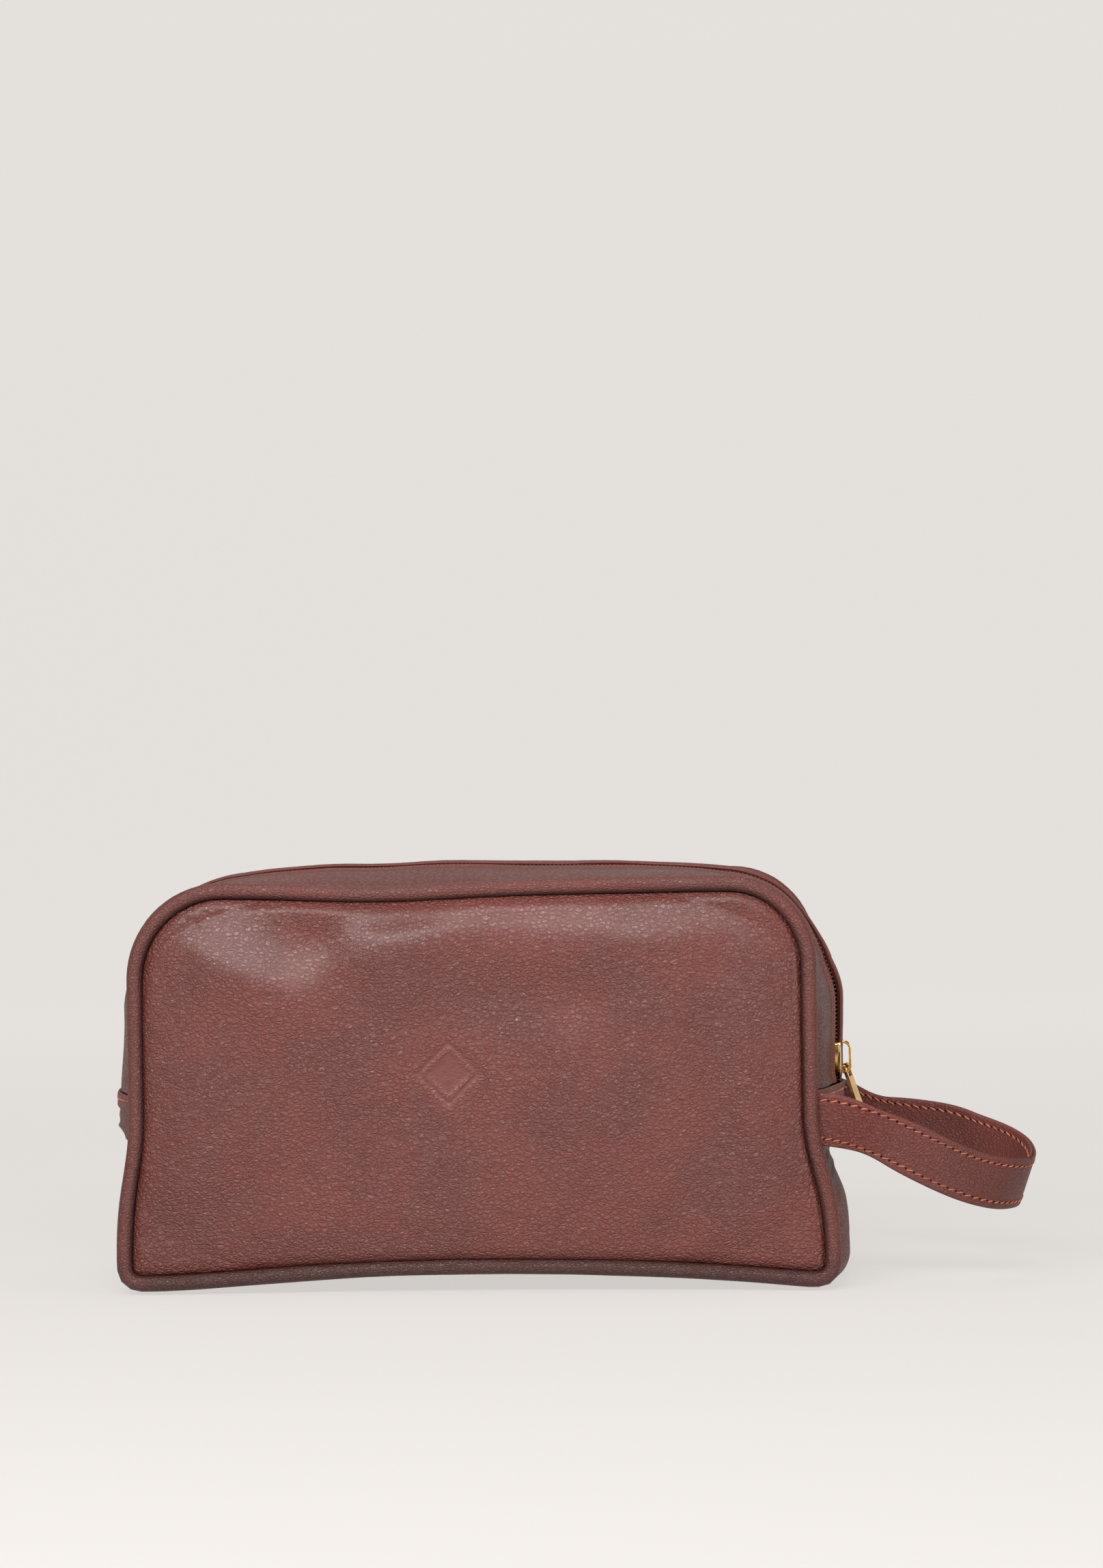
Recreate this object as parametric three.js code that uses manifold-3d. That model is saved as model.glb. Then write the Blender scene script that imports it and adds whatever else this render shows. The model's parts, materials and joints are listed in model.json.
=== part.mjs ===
// A leather shaving kit bag with piped seams, a wrap-over zip and a wrist loop.
// Millimetres. +X is the wrist loop's side, -Y the front, +Z up.
// The origin is the middle of the flat underside.
import * as THREE from 'three';
import { mergeVertices } from 'three/addons/utils/BufferGeometryUtils.js';
import Module from 'manifold-3d';

const wasm = await Module();
wasm.setup();

// ---------- driving dimensions ----------

// Seam outline that both side panels share, seen from the front.
const topHalfWidth = 123;
const baseHalfWidth = 129.5;
const seamTopHeight = 147.5;
const seamCornerHeight = 3.2;
const seamMiddleHeight = 7.5;
const topCornerRadius = 31;
const baseCornerRadius = 8;
const flareTopHeight = 60;

// Gusset between the two seams.
const seamDepth = 95;
const zipSideBulge = 11.5;
const cornerBulge = 4.5;
const topBulge = 9.5;
const topBulgeRun = 60;
const zipStraightTop = 108;
const baseSideBulge = 7;
const bulgeRiseStart = 44;
const bulgeRiseEnd = 66;
const baseEdgeRound = 13;
const zipFlatHalf = 8;

// Side panels.
const panelPuff = 7;
const panelRoundness = 3.2;

// Leather, lining and board.
const panelThickness = 1.6;
const stripThickness = 2.6;
const gussetThickness = 1.8;
const liningThickness = 0.6;
const boardThickness = 1.2;
const foldThickness = 1.2;
const foldHeight = 7;

// Piping.
const pipingRadius = 2.9;
const pipingWall = 0.8;
const pipingSlitDegrees = 40;

// Zip.
const zipEndHeight = 72.5;
const zipOpeningHalf = 5;
const coilInnerHalf = 0.9;
const coilOuterHalf = 3.1;
const coilHeight = 2;
const tapeHalfWidth = 13;
const tapeThickness = 0.6;

// Slider and puller.
const sliderLength = 13;
const sliderHalfWidth = 4.3;
const sliderTailHalfWidth = 3.9;
const sliderEndClearance = 2.3;
const sliderPlateThickness = 1.4;
const sliderBackPlateThickness = 1;
const sliderFlangeThickness = 0.7;
const wedgeHalfWidth = 0.55;
const crownWidth = 3;
const crownThickness = 1.1;
const crownRise = 3.7;
const pullerLength = 24;
const pullerWidth = 6.4;
const pullerThickness = 1.4;
const pullerEyeWidth = 4;
const pullerEyeLength = 3.5;
const pullerBarLength = 1.8;
const pullerRestDegrees = 18;

// Wrist loop.
const strapWidth = 20;
const strapRootWidth = 18;
const strapSkin = 0.8;
const strapCoreThickness = 0.5;
const strapCoreInset = 2;
const strapRootHeight = 62.5;
const strapReach = 66;
const strapDroop = 27.5;
const strapWidenLength = 16;
const strapHornLength = 5;

// Inside slip pocket.
const pocketHalfWidth = 78;
const pocketBottom = 32;
const pocketTop = 98;
const bindingHeight = 4;
const bindingThickness = 1.4;

// Clearances between neighbouring pieces.
const gap = 0.3;
const seamGap = 0.35;
const slideGap = 0.4;
const liningSlack = 0.3;
const pocketSlack = 0.8;

// ---------- colours ----------

const LEATHER = { color: 0x7a4640, roughness: 0.5, metalness: 0 };
const PIPING = { color: 0x6b3a33, roughness: 0.45, metalness: 0 };
const CORD = { color: 0xd8d0c0, roughness: 0.9, metalness: 0 };
const ZIP_CLOTH = { color: 0x5a2a26, roughness: 0.8, metalness: 0 };
const ZIP_COIL = { color: 0x64302b, roughness: 0.4, metalness: 0 };
const GOLD = { color: 0xd9b565, roughness: 0.25, metalness: 1 };
const LINING = { color: 0x3b2b26, roughness: 0.85, metalness: 0 };
const BOARD = { color: 0x8a7a64, roughness: 0.9, metalness: 0 };

const group = new THREE.Group();

function addMesh(name, geometry, look, parent = group) {
  const mesh = new THREE.Mesh(geometry, new THREE.MeshStandardMaterial(look));
  mesh.name = name;
  parent.add(mesh);
  return mesh;
}

// ---------- seam outline ----------

// Right half of the outline, from the middle of the base to the middle of the top.
const halfOutline = new THREE.Path();
halfOutline.moveTo(0, seamMiddleHeight);
halfOutline.bezierCurveTo(
  baseHalfWidth * 0.4, seamMiddleHeight,
  baseHalfWidth * 0.7, seamCornerHeight,
  baseHalfWidth - baseCornerRadius, seamCornerHeight,
);
halfOutline.quadraticCurveTo(
  baseHalfWidth, seamCornerHeight,
  baseHalfWidth, seamCornerHeight + baseCornerRadius,
);
halfOutline.bezierCurveTo(
  baseHalfWidth, flareTopHeight * 0.6,
  topHalfWidth, flareTopHeight * 0.7,
  topHalfWidth, flareTopHeight,
);
halfOutline.lineTo(topHalfWidth, zipStraightTop);
halfOutline.lineTo(topHalfWidth, seamTopHeight - topCornerRadius);
halfOutline.absarc(
  topHalfWidth - topCornerRadius, seamTopHeight - topCornerRadius,
  topCornerRadius, 0, Math.PI / 2, false,
);
halfOutline.lineTo(0, seamTopHeight);

const [
  baseEnd, cornerEnd, flareEnd, straightEnd, sideEnd, topCornerEnd, halfLength,
] = halfOutline.getCurveLengths();
const cornerMiddle = (sideEnd + topCornerEnd) / 2;
const topRiseEnd = topCornerEnd + topBulgeRun;
const seamLength = 2 * halfLength;
const zipEnd = flareEnd + zipEndHeight - flareTopHeight;
const riseEnd = flareEnd + bulgeRiseEnd - flareTopHeight;

// Place and outward direction on the seam at a distance along it. Zero is the middle of the base,
// the right side is positive, and the left side is its mirror image.
function seamAt(distance) {
  const wrapped = THREE.MathUtils.euclideanModulo(distance + halfLength, seamLength) - halfLength;
  const side = wrapped < 0 ? -1 : 1;
  const share = Math.min(Math.abs(wrapped) / halfLength, 1);
  const place = halfOutline.getPoint(share);
  const tangent = halfOutline.getTangent(share);
  const flat = share === 0 || share === 1;
  const outX = flat ? 0 : side * tangent.y;
  const outZ = flat ? Math.sign(share - 0.5) : -tangent.x;
  return { distance: Math.abs(wrapped), x: side * place.x, z: place.y, outX, outZ };
}

// How far the leather stands out from the seam at mid depth.
function bulgeAt(seam) {
  const mix = THREE.MathUtils.smoothstep;
  if (seam.distance <= baseEnd) {
    return seam.z / Math.abs(seam.outZ);
  }
  const cornerShare = mix(seam.distance, baseEnd, cornerEnd);
  const low = THREE.MathUtils.lerp(seamCornerHeight, baseSideBulge, cornerShare);
  const side = THREE.MathUtils.lerp(low, zipSideBulge, mix(seam.z, bulgeRiseStart, bulgeRiseEnd));
  const corner = THREE.MathUtils.lerp(side, cornerBulge, mix(seam.distance, straightEnd, cornerMiddle));
  return THREE.MathUtils.lerp(corner, topBulge, mix(seam.distance, topCornerEnd, topRiseEnd));
}

const gussetHalfDepth = seamDepth / 2 - pipingRadius + 0.4;
const baseFlatHalf = gussetHalfDepth - baseEdgeRound;

// Half width of the flat stretch in the middle of the gusset.
function flatHalfAt(seam) {
  const share = THREE.MathUtils.smoothstep(seam.distance, baseEnd, riseEnd);
  return THREE.MathUtils.lerp(baseFlatHalf, zipFlatHalf, share);
}

// Depths at which every layer of the gusset bends, so that stacked layers stay parallel.
const depthGrid = [
  zipFlatHalf,
  tapeHalfWidth,
  (tapeHalfWidth + baseFlatHalf) / 2,
  baseFlatHalf,
  gussetHalfDepth - baseEdgeRound / 2,
];
const bendDepths = [0, ...depthGrid, gussetHalfDepth];

// Share of the full bulge at a depth, straight between two bends.
function bulgeShare(y, flatHalf) {
  const depth = Math.min(Math.abs(y), gussetHalfDepth);
  const far = Math.max(1, bendDepths.findIndex((bend) => bend >= depth - 1e-6));
  const [nearShare, farShare] = [bendDepths[far - 1], bendDepths[far]].map((bend) => {
    const past = Math.max(0, bend - flatHalf) / (gussetHalfDepth - flatHalf);
    return 1 - past * past;
  });
  const mix = (depth - bendDepths[far - 1]) / (bendDepths[far] - bendDepths[far - 1]);
  return THREE.MathUtils.lerp(nearShare, farShare, mix);
}

// A point of the gusset's outer surface, raised along its outward direction.
function gussetPoint(distance, y, raise) {
  const seam = seamAt(distance);
  const out = bulgeAt(seam) * bulgeShare(y, flatHalfAt(seam)) + raise;
  return new THREE.Vector3(seam.x + seam.outX * out, y, seam.z + seam.outZ * out);
}

// Distances along the right half of the seam where the sections stand, with a finer step on the curves.
function seamStations(from, to) {
  const marks = [
    [0, baseEnd, 4],
    [baseEnd, cornerEnd, 3],
    [cornerEnd, flareEnd, 5],
    [flareEnd, riseEnd, 1],
    [riseEnd, zipEnd, 1],
    [zipEnd, straightEnd, 1],
    [straightEnd, sideEnd, 1],
    [sideEnd, topCornerEnd, 6],
    [topCornerEnd, topRiseEnd, 3],
    [topRiseEnd, halfLength, 1],
  ];
  const right = marks.flatMap(([start, end, steps]) =>
    Array.from({ length: steps }, (_, step) => start + (end - start) * step / steps));
  right.push(halfLength);
  const left = right.map((distance) => -distance);
  const over = left.map((distance) => distance + seamLength);
  const inside = [...left, ...right, ...over].filter((distance) =>
    distance > from + 0.5 && distance < to - 0.5);
  const sorted = [from, ...inside, to].sort((a, b) => a - b);
  return sorted.filter((distance, index) => index === 0 || distance - sorted[index - 1] > 0.05);
}

// ---------- solids ----------

// Turns the triangles round if they face inward.
function facingOut(positions, indices) {
  const corners = [new THREE.Vector3(), new THREE.Vector3(), new THREE.Vector3()];
  let volume = 0;
  for (let i = 0; i < indices.length; i += 3) {
    corners.forEach((corner, k) => corner.fromArray(positions, indices[i + k] * 3));
    volume += corners[0].dot(corners[1].clone().cross(corners[2]));
  }
  const ordered = volume > 0 ? indices : indices.slice().reverse();
  const geometry = new THREE.BufferGeometry();
  geometry.setAttribute('position', new THREE.Float32BufferAttribute(positions, 3));
  geometry.setIndex(ordered);
  return geometry;
}

// Joins rows of points, each row one closed section. A ring joins the last row to the first;
// otherwise both ends are closed by pairing the first half of the section with the second.
// The two halves split their squares the same way, so that stacked layers stay parallel.
function loft(rows, ring) {
  const width = rows[0].length;
  const positions = rows.flat().flatMap((point) => point.toArray());
  const indices = [];
  const spans = ring ? rows.length : rows.length - 1;
  for (let row = 0; row < spans; row += 1) {
    const here = row * width;
    const next = ((row + 1) % rows.length) * width;
    for (let column = 0; column < width; column += 1) {
      const side = (column + 1) % width;
      if (column < width / 2) {
        indices.push(here + column, here + side, next + column);
        indices.push(here + side, next + side, next + column);
      } else {
        indices.push(here + column, here + side, next + side);
        indices.push(here + column, next + side, next + column);
      }
    }
  }
  if (!ring) {
    const last = (rows.length - 1) * width;
    for (let column = 0; column < width / 2 - 1; column += 1) {
      const a = column;
      const b = column + 1;
      const c = width - 2 - column;
      const d = width - 1 - column;
      indices.push(a, c, b, a, d, c);
      indices.push(last + a, last + b, last + c, last + a, last + c, last + d);
    }
  }
  return facingOut(positions, indices);
}

// A band of the gusset between two raises, across the given depths.
// The raises are functions of the distance along the seam.
function gussetBand(distances, depths, outerRaise, innerRaise) {
  const rows = distances.map((distance) => {
    const outer = depths.map((y) => gussetPoint(distance, y, outerRaise(distance)));
    const inner = depths.map((y) => gussetPoint(distance, y, innerRaise(distance)));
    return [...outer, ...inner.reverse()];
  });
  return loft(rows, false);
}

// Depths from one edge of a band to the other, through the shared bends.
function depthsBetween(from, to) {
  const both = [...depthGrid.map((y) => -y).reverse(), ...depthGrid];
  return [from, ...both.filter((y) => y > from + 0.5 && y < to - 0.5), to];
}

// How far a side panel's leather stands out from the seam plane.
const panelMiddleHeight = (seamTopHeight + seamCornerHeight) / 2;
const panelHalfHeight = (seamTopHeight - seamCornerHeight) / 2;

function domeAt(x, z) {
  const acrossShare = Math.abs(x) / baseHalfWidth;
  const upShare = Math.abs(z - panelMiddleHeight) / panelHalfHeight;
  const sum = acrossShare ** panelRoundness + upShare ** panelRoundness;
  return panelPuff * Math.max(0, 1 - sum ** (2.6 / panelRoundness));
}

// A domed sheet inside the seam outline: side is -1 at the front and 1 at the back.
function panelSheet(side, inset, depth, thickness, rings) {
  const rim = seamStations(-halfLength, halfLength).slice(1).map((distance) => {
    const seam = seamAt(distance);
    return [seam.x - seam.outX * inset, seam.z - seam.outZ * inset];
  });
  const count = rim.length;
  const positions = [];
  for (const back of [0, thickness]) {
    const place = (x, z) => positions.push(x, side * (seamDepth / 2 - depth - back + domeAt(x, z)), z);
    place(0, panelMiddleHeight);
    for (let ring = 1; ring <= rings; ring += 1) {
      const share = Math.sin(Math.PI / 2 * ring / rings);
      rim.forEach(([x, z]) => place(x * share, panelMiddleHeight + (z - panelMiddleHeight) * share));
    }
  }
  const layer = 1 + rings * count;
  const indices = [];
  for (let i = 0; i < count; i += 1) {
    const j = (i + 1) % count;
    indices.push(0, 1 + i, 1 + j);
    indices.push(layer, layer + 1 + j, layer + 1 + i);
    for (let ring = 0; ring < rings - 1; ring += 1) {
      const inner = 1 + ring * count;
      const outer = inner + count;
      indices.push(inner + i, outer + i, outer + j, inner + i, outer + j, inner + j);
      indices.push(layer + inner + i, layer + outer + j, layer + outer + i);
      indices.push(layer + inner + i, layer + inner + j, layer + outer + j);
    }
    const edge = 1 + (rings - 1) * count;
    indices.push(edge + i, layer + edge + i, layer + edge + j);
    indices.push(edge + i, layer + edge + j, edge + j);
  }
  return facingOut(positions, indices);
}

// A section swept all the way round the seam, given by angle and radius about the seam line.
function seamRing(side, centreDepth, section) {
  const distances = seamStations(-halfLength, halfLength).slice(1);
  const rows = distances.map((distance) => {
    const seam = seamAt(distance);
    return section.map(([angle, radius]) => {
      const out = radius * Math.cos(angle);
      const forward = radius * Math.sin(angle);
      return new THREE.Vector3(
        seam.x + seam.outX * out,
        side * (centreDepth + forward),
        seam.z + seam.outZ * out,
      );
    });
  });
  return loft(rows, true);
}

// ---------- side panels, piping and their linings ----------

const panelInset = pipingRadius + gap;
const liningInset = panelInset + 1.6;
const panelLiningDepth = panelThickness + gap + liningSlack;
const pipingCentreDepth = gussetHalfDepth + gap + pipingRadius;
const slitHalf = THREE.MathUtils.degToRad(pipingSlitDegrees / 2);
// The sleeve opens toward the inside of the bag and a little to the rear.
const slitMiddle = THREE.MathUtils.degToRad(205);
const pipingInnerRadius = pipingRadius - pipingWall;

const sleeveSteps = 8;
const sleeveAngles = Array.from({ length: sleeveSteps }, (_, step) =>
  slitMiddle + slitHalf + (2 * Math.PI - 2 * slitHalf) * step / (sleeveSteps - 1));
const sleeveSection = [
  ...sleeveAngles.map((angle) => [angle, pipingRadius]),
  ...sleeveAngles.map((angle) => [angle, pipingInnerRadius]).reverse(),
];
const cordSides = 6;
const cordSection = Array.from({ length: cordSides }, (_, step) =>
  [2 * Math.PI * step / cordSides, pipingInnerRadius - 2 * gap]);

for (const [place, side] of [['front', -1], ['back', 1]]) {
  addMesh(`${place}_panel`, panelSheet(side, panelInset, 0, panelThickness, 3), LEATHER);
  addMesh(`lining_${place}`, panelSheet(side, liningInset, panelLiningDepth, liningThickness, 3), LINING);
  addMesh(`${place}_piping`, seamRing(side, pipingCentreDepth, sleeveSection), PIPING);
  addMesh(`${place}_piping_cord`, seamRing(side, pipingCentreDepth, cordSection), CORD);
}

// ---------- gusset ----------

const zipFrom = zipEnd + gap;
const zipTo = seamLength - zipEnd - gap;
const zipStations = seamStations(zipFrom, zipTo);

// The gusset's two ends are turned over into a raised fold below the zip.
const foldStart = zipEnd - foldHeight;
const foldStep = 0.4;
const gussetStations = [
  ...seamStations(-zipEnd, zipEnd),
  -foldStart,
  foldStart,
  -foldStart + foldStep,
  foldStart - foldStep,
].sort((a, b) => a - b);

function foldRaise(distance) {
  return Math.abs(distance) > foldStart - foldStep / 2 ? foldThickness : 0;
}

addMesh(
  'base_gusset',
  gussetBand(
    gussetStations,
    depthsBetween(-gussetHalfDepth, gussetHalfDepth),
    foldRaise,
    () => -gussetThickness,
  ),
  LEATHER,
);

// The board lies on the flat middle of the base, under the lining.
const boardTop = gussetThickness + gap + boardThickness;
const boardDistance = baseEnd - 4;
addMesh(
  'base_board',
  gussetBand(
    seamStations(-boardDistance, boardDistance),
    depthsBetween(-baseFlatHalf, baseFlatHalf),
    () => -(gussetThickness + gap),
    () => -boardTop,
  ),
  BOARD,
);

// The lining rises over the board and lies against the gusset elsewhere.
function gussetLiningDepth(distance) {
  const share = THREE.MathUtils.smoothstep(Math.abs(distance), baseEnd, cornerEnd);
  return THREE.MathUtils.lerp(boardTop + gap, gussetThickness + gap, share);
}

const liningHalfDepth = gussetHalfDepth - 1.6;
addMesh(
  'lining_gusset',
  gussetBand(
    gussetStations,
    depthsBetween(-liningHalfDepth, liningHalfDepth),
    (distance) => -gussetLiningDepth(distance),
    (distance) => -gussetLiningDepth(distance) - liningThickness,
  ),
  LINING,
);

const tapeDepth = stripThickness + gap;
const zipLiningDepth = tapeDepth + tapeThickness + gap;
const coilFoot = tapeDepth - gap;
const coilTop = coilHeight - coilFoot;
const liningZipHalf = zipOpeningHalf + 4.5;

// A layer along the zip on one side of its middle, between two raises.
function zipBand(side, nearHalf, farHalf, outerRaise, innerRaise) {
  const depths = depthsBetween(nearHalf, farHalf).map((y) => side * y);
  return gussetBand(zipStations, depths, () => outerRaise, () => innerRaise);
}

for (const [place, side] of [['front', -1], ['back', 1]]) {
  addMesh(
    `zip_strip_${place}`,
    zipBand(side, zipOpeningHalf, gussetHalfDepth, 0, -stripThickness),
    LEATHER,
  );
  addMesh(
    `zip_tape_${place}`,
    zipBand(side, coilInnerHalf, tapeHalfWidth, -tapeDepth, -tapeDepth - tapeThickness),
    ZIP_CLOTH,
  );
  addMesh(
    `zip_coil_${place}`,
    zipBand(side, coilInnerHalf, coilOuterHalf, coilTop, -coilFoot),
    ZIP_COIL,
  );
  addMesh(
    `lining_zip_${place}`,
    zipBand(side, liningZipHalf, liningHalfDepth, -zipLiningDepth, -zipLiningDepth - liningThickness),
    LINING,
  );
}

// ---------- slip pocket on the back lining ----------

const pocketDepth = panelLiningDepth + liningThickness + gap + pocketSlack;

function pocketSheet(bottom, top, levels, front) {
  const columns = Array.from({ length: 7 }, (_, column) => pocketHalfWidth * (column / 3 - 1));
  const heights = Array.from({ length: levels + 1 }, (_, level) => bottom + (top - bottom) * level / levels);
  const rows = columns.map((x) => {
    const layer = (depth) => heights.map((z) =>
      new THREE.Vector3(x, seamDepth / 2 + domeAt(x, z) - depth, z));
    return [...layer(pocketDepth), ...layer(pocketDepth + front).reverse()];
  });
  return loft(rows, false);
}

addMesh('pocket_panel', pocketSheet(pocketBottom, pocketTop, 3, liningThickness), LINING);
addMesh(
  'pocket_binding',
  pocketSheet(pocketTop + gap, pocketTop + gap + bindingHeight, 1, bindingThickness),
  LEATHER,
);

// ---------- booleans for the slider ----------

function toManifold(geometry) {
  const bare = geometry.clone();
  bare.deleteAttribute('normal');
  bare.deleteAttribute('uv');
  const merged = mergeVertices(bare, 1e-4);
  return new wasm.Manifold(new wasm.Mesh({
    numProp: 3,
    vertProperties: new Float32Array(merged.attributes.position.array),
    triVerts: new Uint32Array(merged.index.array),
  }));
}

function fromManifold(solid) {
  const mesh = solid.getMesh();
  const geometry = new THREE.BufferGeometry();
  geometry.setAttribute('position', new THREE.BufferAttribute(mesh.vertProperties, 3));
  geometry.setIndex(new THREE.BufferAttribute(mesh.triVerts, 1));
  return geometry;
}

// ---------- slider, crown and puller ----------

// The slider runs up the right side, where the zip is straight and upright. In its own group
// +X is out of the bag, and the origin is on the leather's surface at the slider's lower end.
const slider = new THREE.Group();
slider.position.set(topHalfWidth + zipSideBulge, 0, zipEndHeight + sliderEndClearance);
group.add(slider);

// A plate in the zip's plane, wide at the lower mouth and narrower at the tail, with rounded corners.
function sliderPlate(inner, outer) {
  const nose = 2.5;
  const shape = new THREE.Shape();
  shape.moveTo(-sliderHalfWidth + nose, 0);
  shape.lineTo(sliderHalfWidth - nose, 0);
  shape.quadraticCurveTo(sliderHalfWidth, 0, sliderHalfWidth, nose);
  shape.lineTo(sliderTailHalfWidth, sliderLength - 1);
  shape.quadraticCurveTo(sliderTailHalfWidth, sliderLength, sliderTailHalfWidth - 1, sliderLength);
  shape.lineTo(-sliderTailHalfWidth + 1, sliderLength);
  shape.quadraticCurveTo(-sliderTailHalfWidth, sliderLength, -sliderTailHalfWidth, sliderLength - 1);
  shape.lineTo(-sliderHalfWidth, nose);
  shape.quadraticCurveTo(-sliderHalfWidth, 0, -sliderHalfWidth + nose, 0);
  const plate = new THREE.ExtrudeGeometry(shape, {
    depth: outer - inner,
    bevelEnabled: false,
    curveSegments: 3,
  });
  plate.applyMatrix4(new THREE.Matrix4().makeBasis(
    new THREE.Vector3(0, 1, 0),
    new THREE.Vector3(0, 0, 1),
    new THREE.Vector3(1, 0, 0),
  ));
  plate.translate(inner, 0, 0);
  return plate;
}

function block(x0, x1, y0, y1, z0, z1) {
  const box = new THREE.BoxGeometry(x1 - x0, y1 - y0, z1 - z0);
  box.translate((x0 + x1) / 2, (y0 + y1) / 2, (z0 + z1) / 2);
  return box;
}

const plateFoot = coilTop + slideGap;
const plateTop = plateFoot + sliderPlateThickness;
const backPlateTop = -(tapeDepth + tapeThickness + slideGap);
const backPlateFoot = backPlateTop - sliderBackPlateThickness;
const flangeFoot = -tapeDepth + slideGap;
const joinDepth = 0.2;

let sliderSolid = toManifold(sliderPlate(plateFoot, plateTop));
sliderSolid = sliderSolid.add(toManifold(sliderPlate(backPlateFoot, backPlateTop)));
sliderSolid = sliderSolid.add(toManifold(block(
  backPlateTop - joinDepth, plateFoot + joinDepth,
  -wedgeHalfWidth, wedgeHalfWidth,
  0.6, sliderLength * 0.5,
)));
for (const side of [-1, 1]) {
  const outerFace = side * sliderTailHalfWidth;
  const innerFace = side * (sliderTailHalfWidth - sliderFlangeThickness);
  sliderSolid = sliderSolid.add(toManifold(block(
    flangeFoot, plateFoot + joinDepth,
    Math.min(outerFace, innerFace), Math.max(outerFace, innerFace),
    3, sliderLength - 1,
  )));
}
addMesh('slider_body', fromManifold(sliderSolid), GOLD, slider);

// The crown arches over the outer plate and carries the puller at its lower end.
const crownFoot = plateTop + gap;
const crownTop = crownFoot + crownRise;
const crownLow = 1.2;
const crownHigh = sliderLength - 0.4;
const crownRadius = 2.4;

function crownShape() {
  const inner = crownRadius - crownThickness;
  const shape = new THREE.Shape();
  shape.moveTo(crownFoot, crownLow);
  shape.lineTo(crownTop - crownRadius, crownLow);
  shape.absarc(crownTop - crownRadius, crownLow + crownRadius, crownRadius, -Math.PI / 2, 0, false);
  shape.lineTo(crownTop, crownHigh - crownRadius);
  shape.absarc(crownTop - crownRadius, crownHigh - crownRadius, crownRadius, 0, Math.PI / 2, false);
  shape.lineTo(crownFoot, crownHigh);
  shape.lineTo(crownFoot, crownHigh - crownThickness);
  shape.absarc(crownTop - crownRadius, crownHigh - crownRadius, inner, Math.PI / 2, 0, true);
  shape.absarc(crownTop - crownRadius, crownLow + crownRadius, inner, 0, -Math.PI / 2, true);
  shape.lineTo(crownFoot, crownLow + crownThickness);
  shape.closePath();
  return shape;
}

const crown = new THREE.ExtrudeGeometry(crownShape(), {
  depth: crownWidth,
  bevelEnabled: false,
  curveSegments: 4,
});
crown.applyMatrix4(new THREE.Matrix4().makeBasis(
  new THREE.Vector3(1, 0, 0),
  new THREE.Vector3(0, 0, 1),
  new THREE.Vector3(0, -1, 0),
));
crown.translate(0, crownWidth / 2, 0);
addMesh('slider_crown', crown, GOLD, slider);

// The puller hangs from the crown by the bar above its eye.
const pullerPivotOut = crownTop - crownThickness - pullerBarLength / 2 - slideGap;
const pullerPivotUp = crownLow + crownThickness + pullerBarLength / 2 + slideGap;
const puller = new THREE.Group();
puller.position.set(pullerPivotOut, 0, pullerPivotUp);
puller.rotation.y = -THREE.MathUtils.degToRad(pullerRestDegrees);
slider.add(puller);

function pullerShape() {
  const half = pullerWidth / 2;
  const eyeHalf = pullerEyeWidth / 2;
  const barHalf = pullerBarLength / 2;
  const tip = barHalf - pullerLength;
  const shape = new THREE.Shape();
  shape.moveTo(-half + 1, barHalf);
  shape.lineTo(half - 1, barHalf);
  shape.quadraticCurveTo(half, barHalf, half, barHalf - 1.4);
  shape.lineTo(half, tip + half);
  shape.absarc(0, tip + half, half, 0, -Math.PI, true);
  shape.lineTo(-half, barHalf - 1.4);
  shape.quadraticCurveTo(-half, barHalf, -half + 1, barHalf);
  const eye = new THREE.Path();
  eye.moveTo(-eyeHalf, -barHalf);
  eye.lineTo(-eyeHalf, -barHalf - pullerEyeLength);
  eye.lineTo(eyeHalf, -barHalf - pullerEyeLength);
  eye.lineTo(eyeHalf, -barHalf);
  eye.closePath();
  shape.holes.push(eye);
  return shape;
}

const pullerPlate = new THREE.ExtrudeGeometry(pullerShape(), {
  depth: pullerThickness,
  bevelEnabled: false,
  curveSegments: 6,
});
pullerPlate.translate(0, 0, -pullerThickness / 2);
pullerPlate.applyMatrix4(new THREE.Matrix4().makeBasis(
  new THREE.Vector3(0, 1, 0),
  new THREE.Vector3(0, 0, 1),
  new THREE.Vector3(1, 0, 0),
));
addMesh('zip_puller', pullerPlate, GOLD, puller);

// ---------- wrist loop ----------

// Two strands leave the side seams and meet in a bend. The loop turns about a cross line
// through both strands, one root radius out from the short ends that stay in the seams.
const strapRootRadius = strapRootWidth / 2;
const endHalfHeight = strapRootRadius + 1;
const outlineSteps = 200;
const seamBesideStrap = halfOutline.getSpacedPoints(outlineSteps)
  .filter((point) => point.y >= strapRootHeight - endHalfHeight - pipingRadius)
  .map((point) => point.x);
const strapRootX = Math.max(...seamBesideStrap) + pipingRadius + gap;
const endWeb = 2;
const strapAxisX = strapRootX + endWeb + seamGap + strapRootRadius;
const strapHalfDepth = gussetHalfDepth + 0.4;

// The loop's middle line, half an ellipse in plan from the front root to the back root,
// drooping toward its far end.
const loopSteps = 26;
const loopPlan = new THREE.EllipseCurve(
  strapAxisX, 0,
  strapReach, strapHalfDepth,
  -Math.PI / 2, Math.PI / 2,
);
const loopLine = loopPlan.getSpacedPoints(loopSteps).map((point) => {
  const share = THREE.MathUtils.clamp((point.x - strapAxisX) / strapReach, 0, 1);
  const drop = strapDroop * (1.35 * share - 0.35 * share ** 3);
  return new THREE.Vector3(point.x, point.y, strapRootHeight - drop);
});

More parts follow.
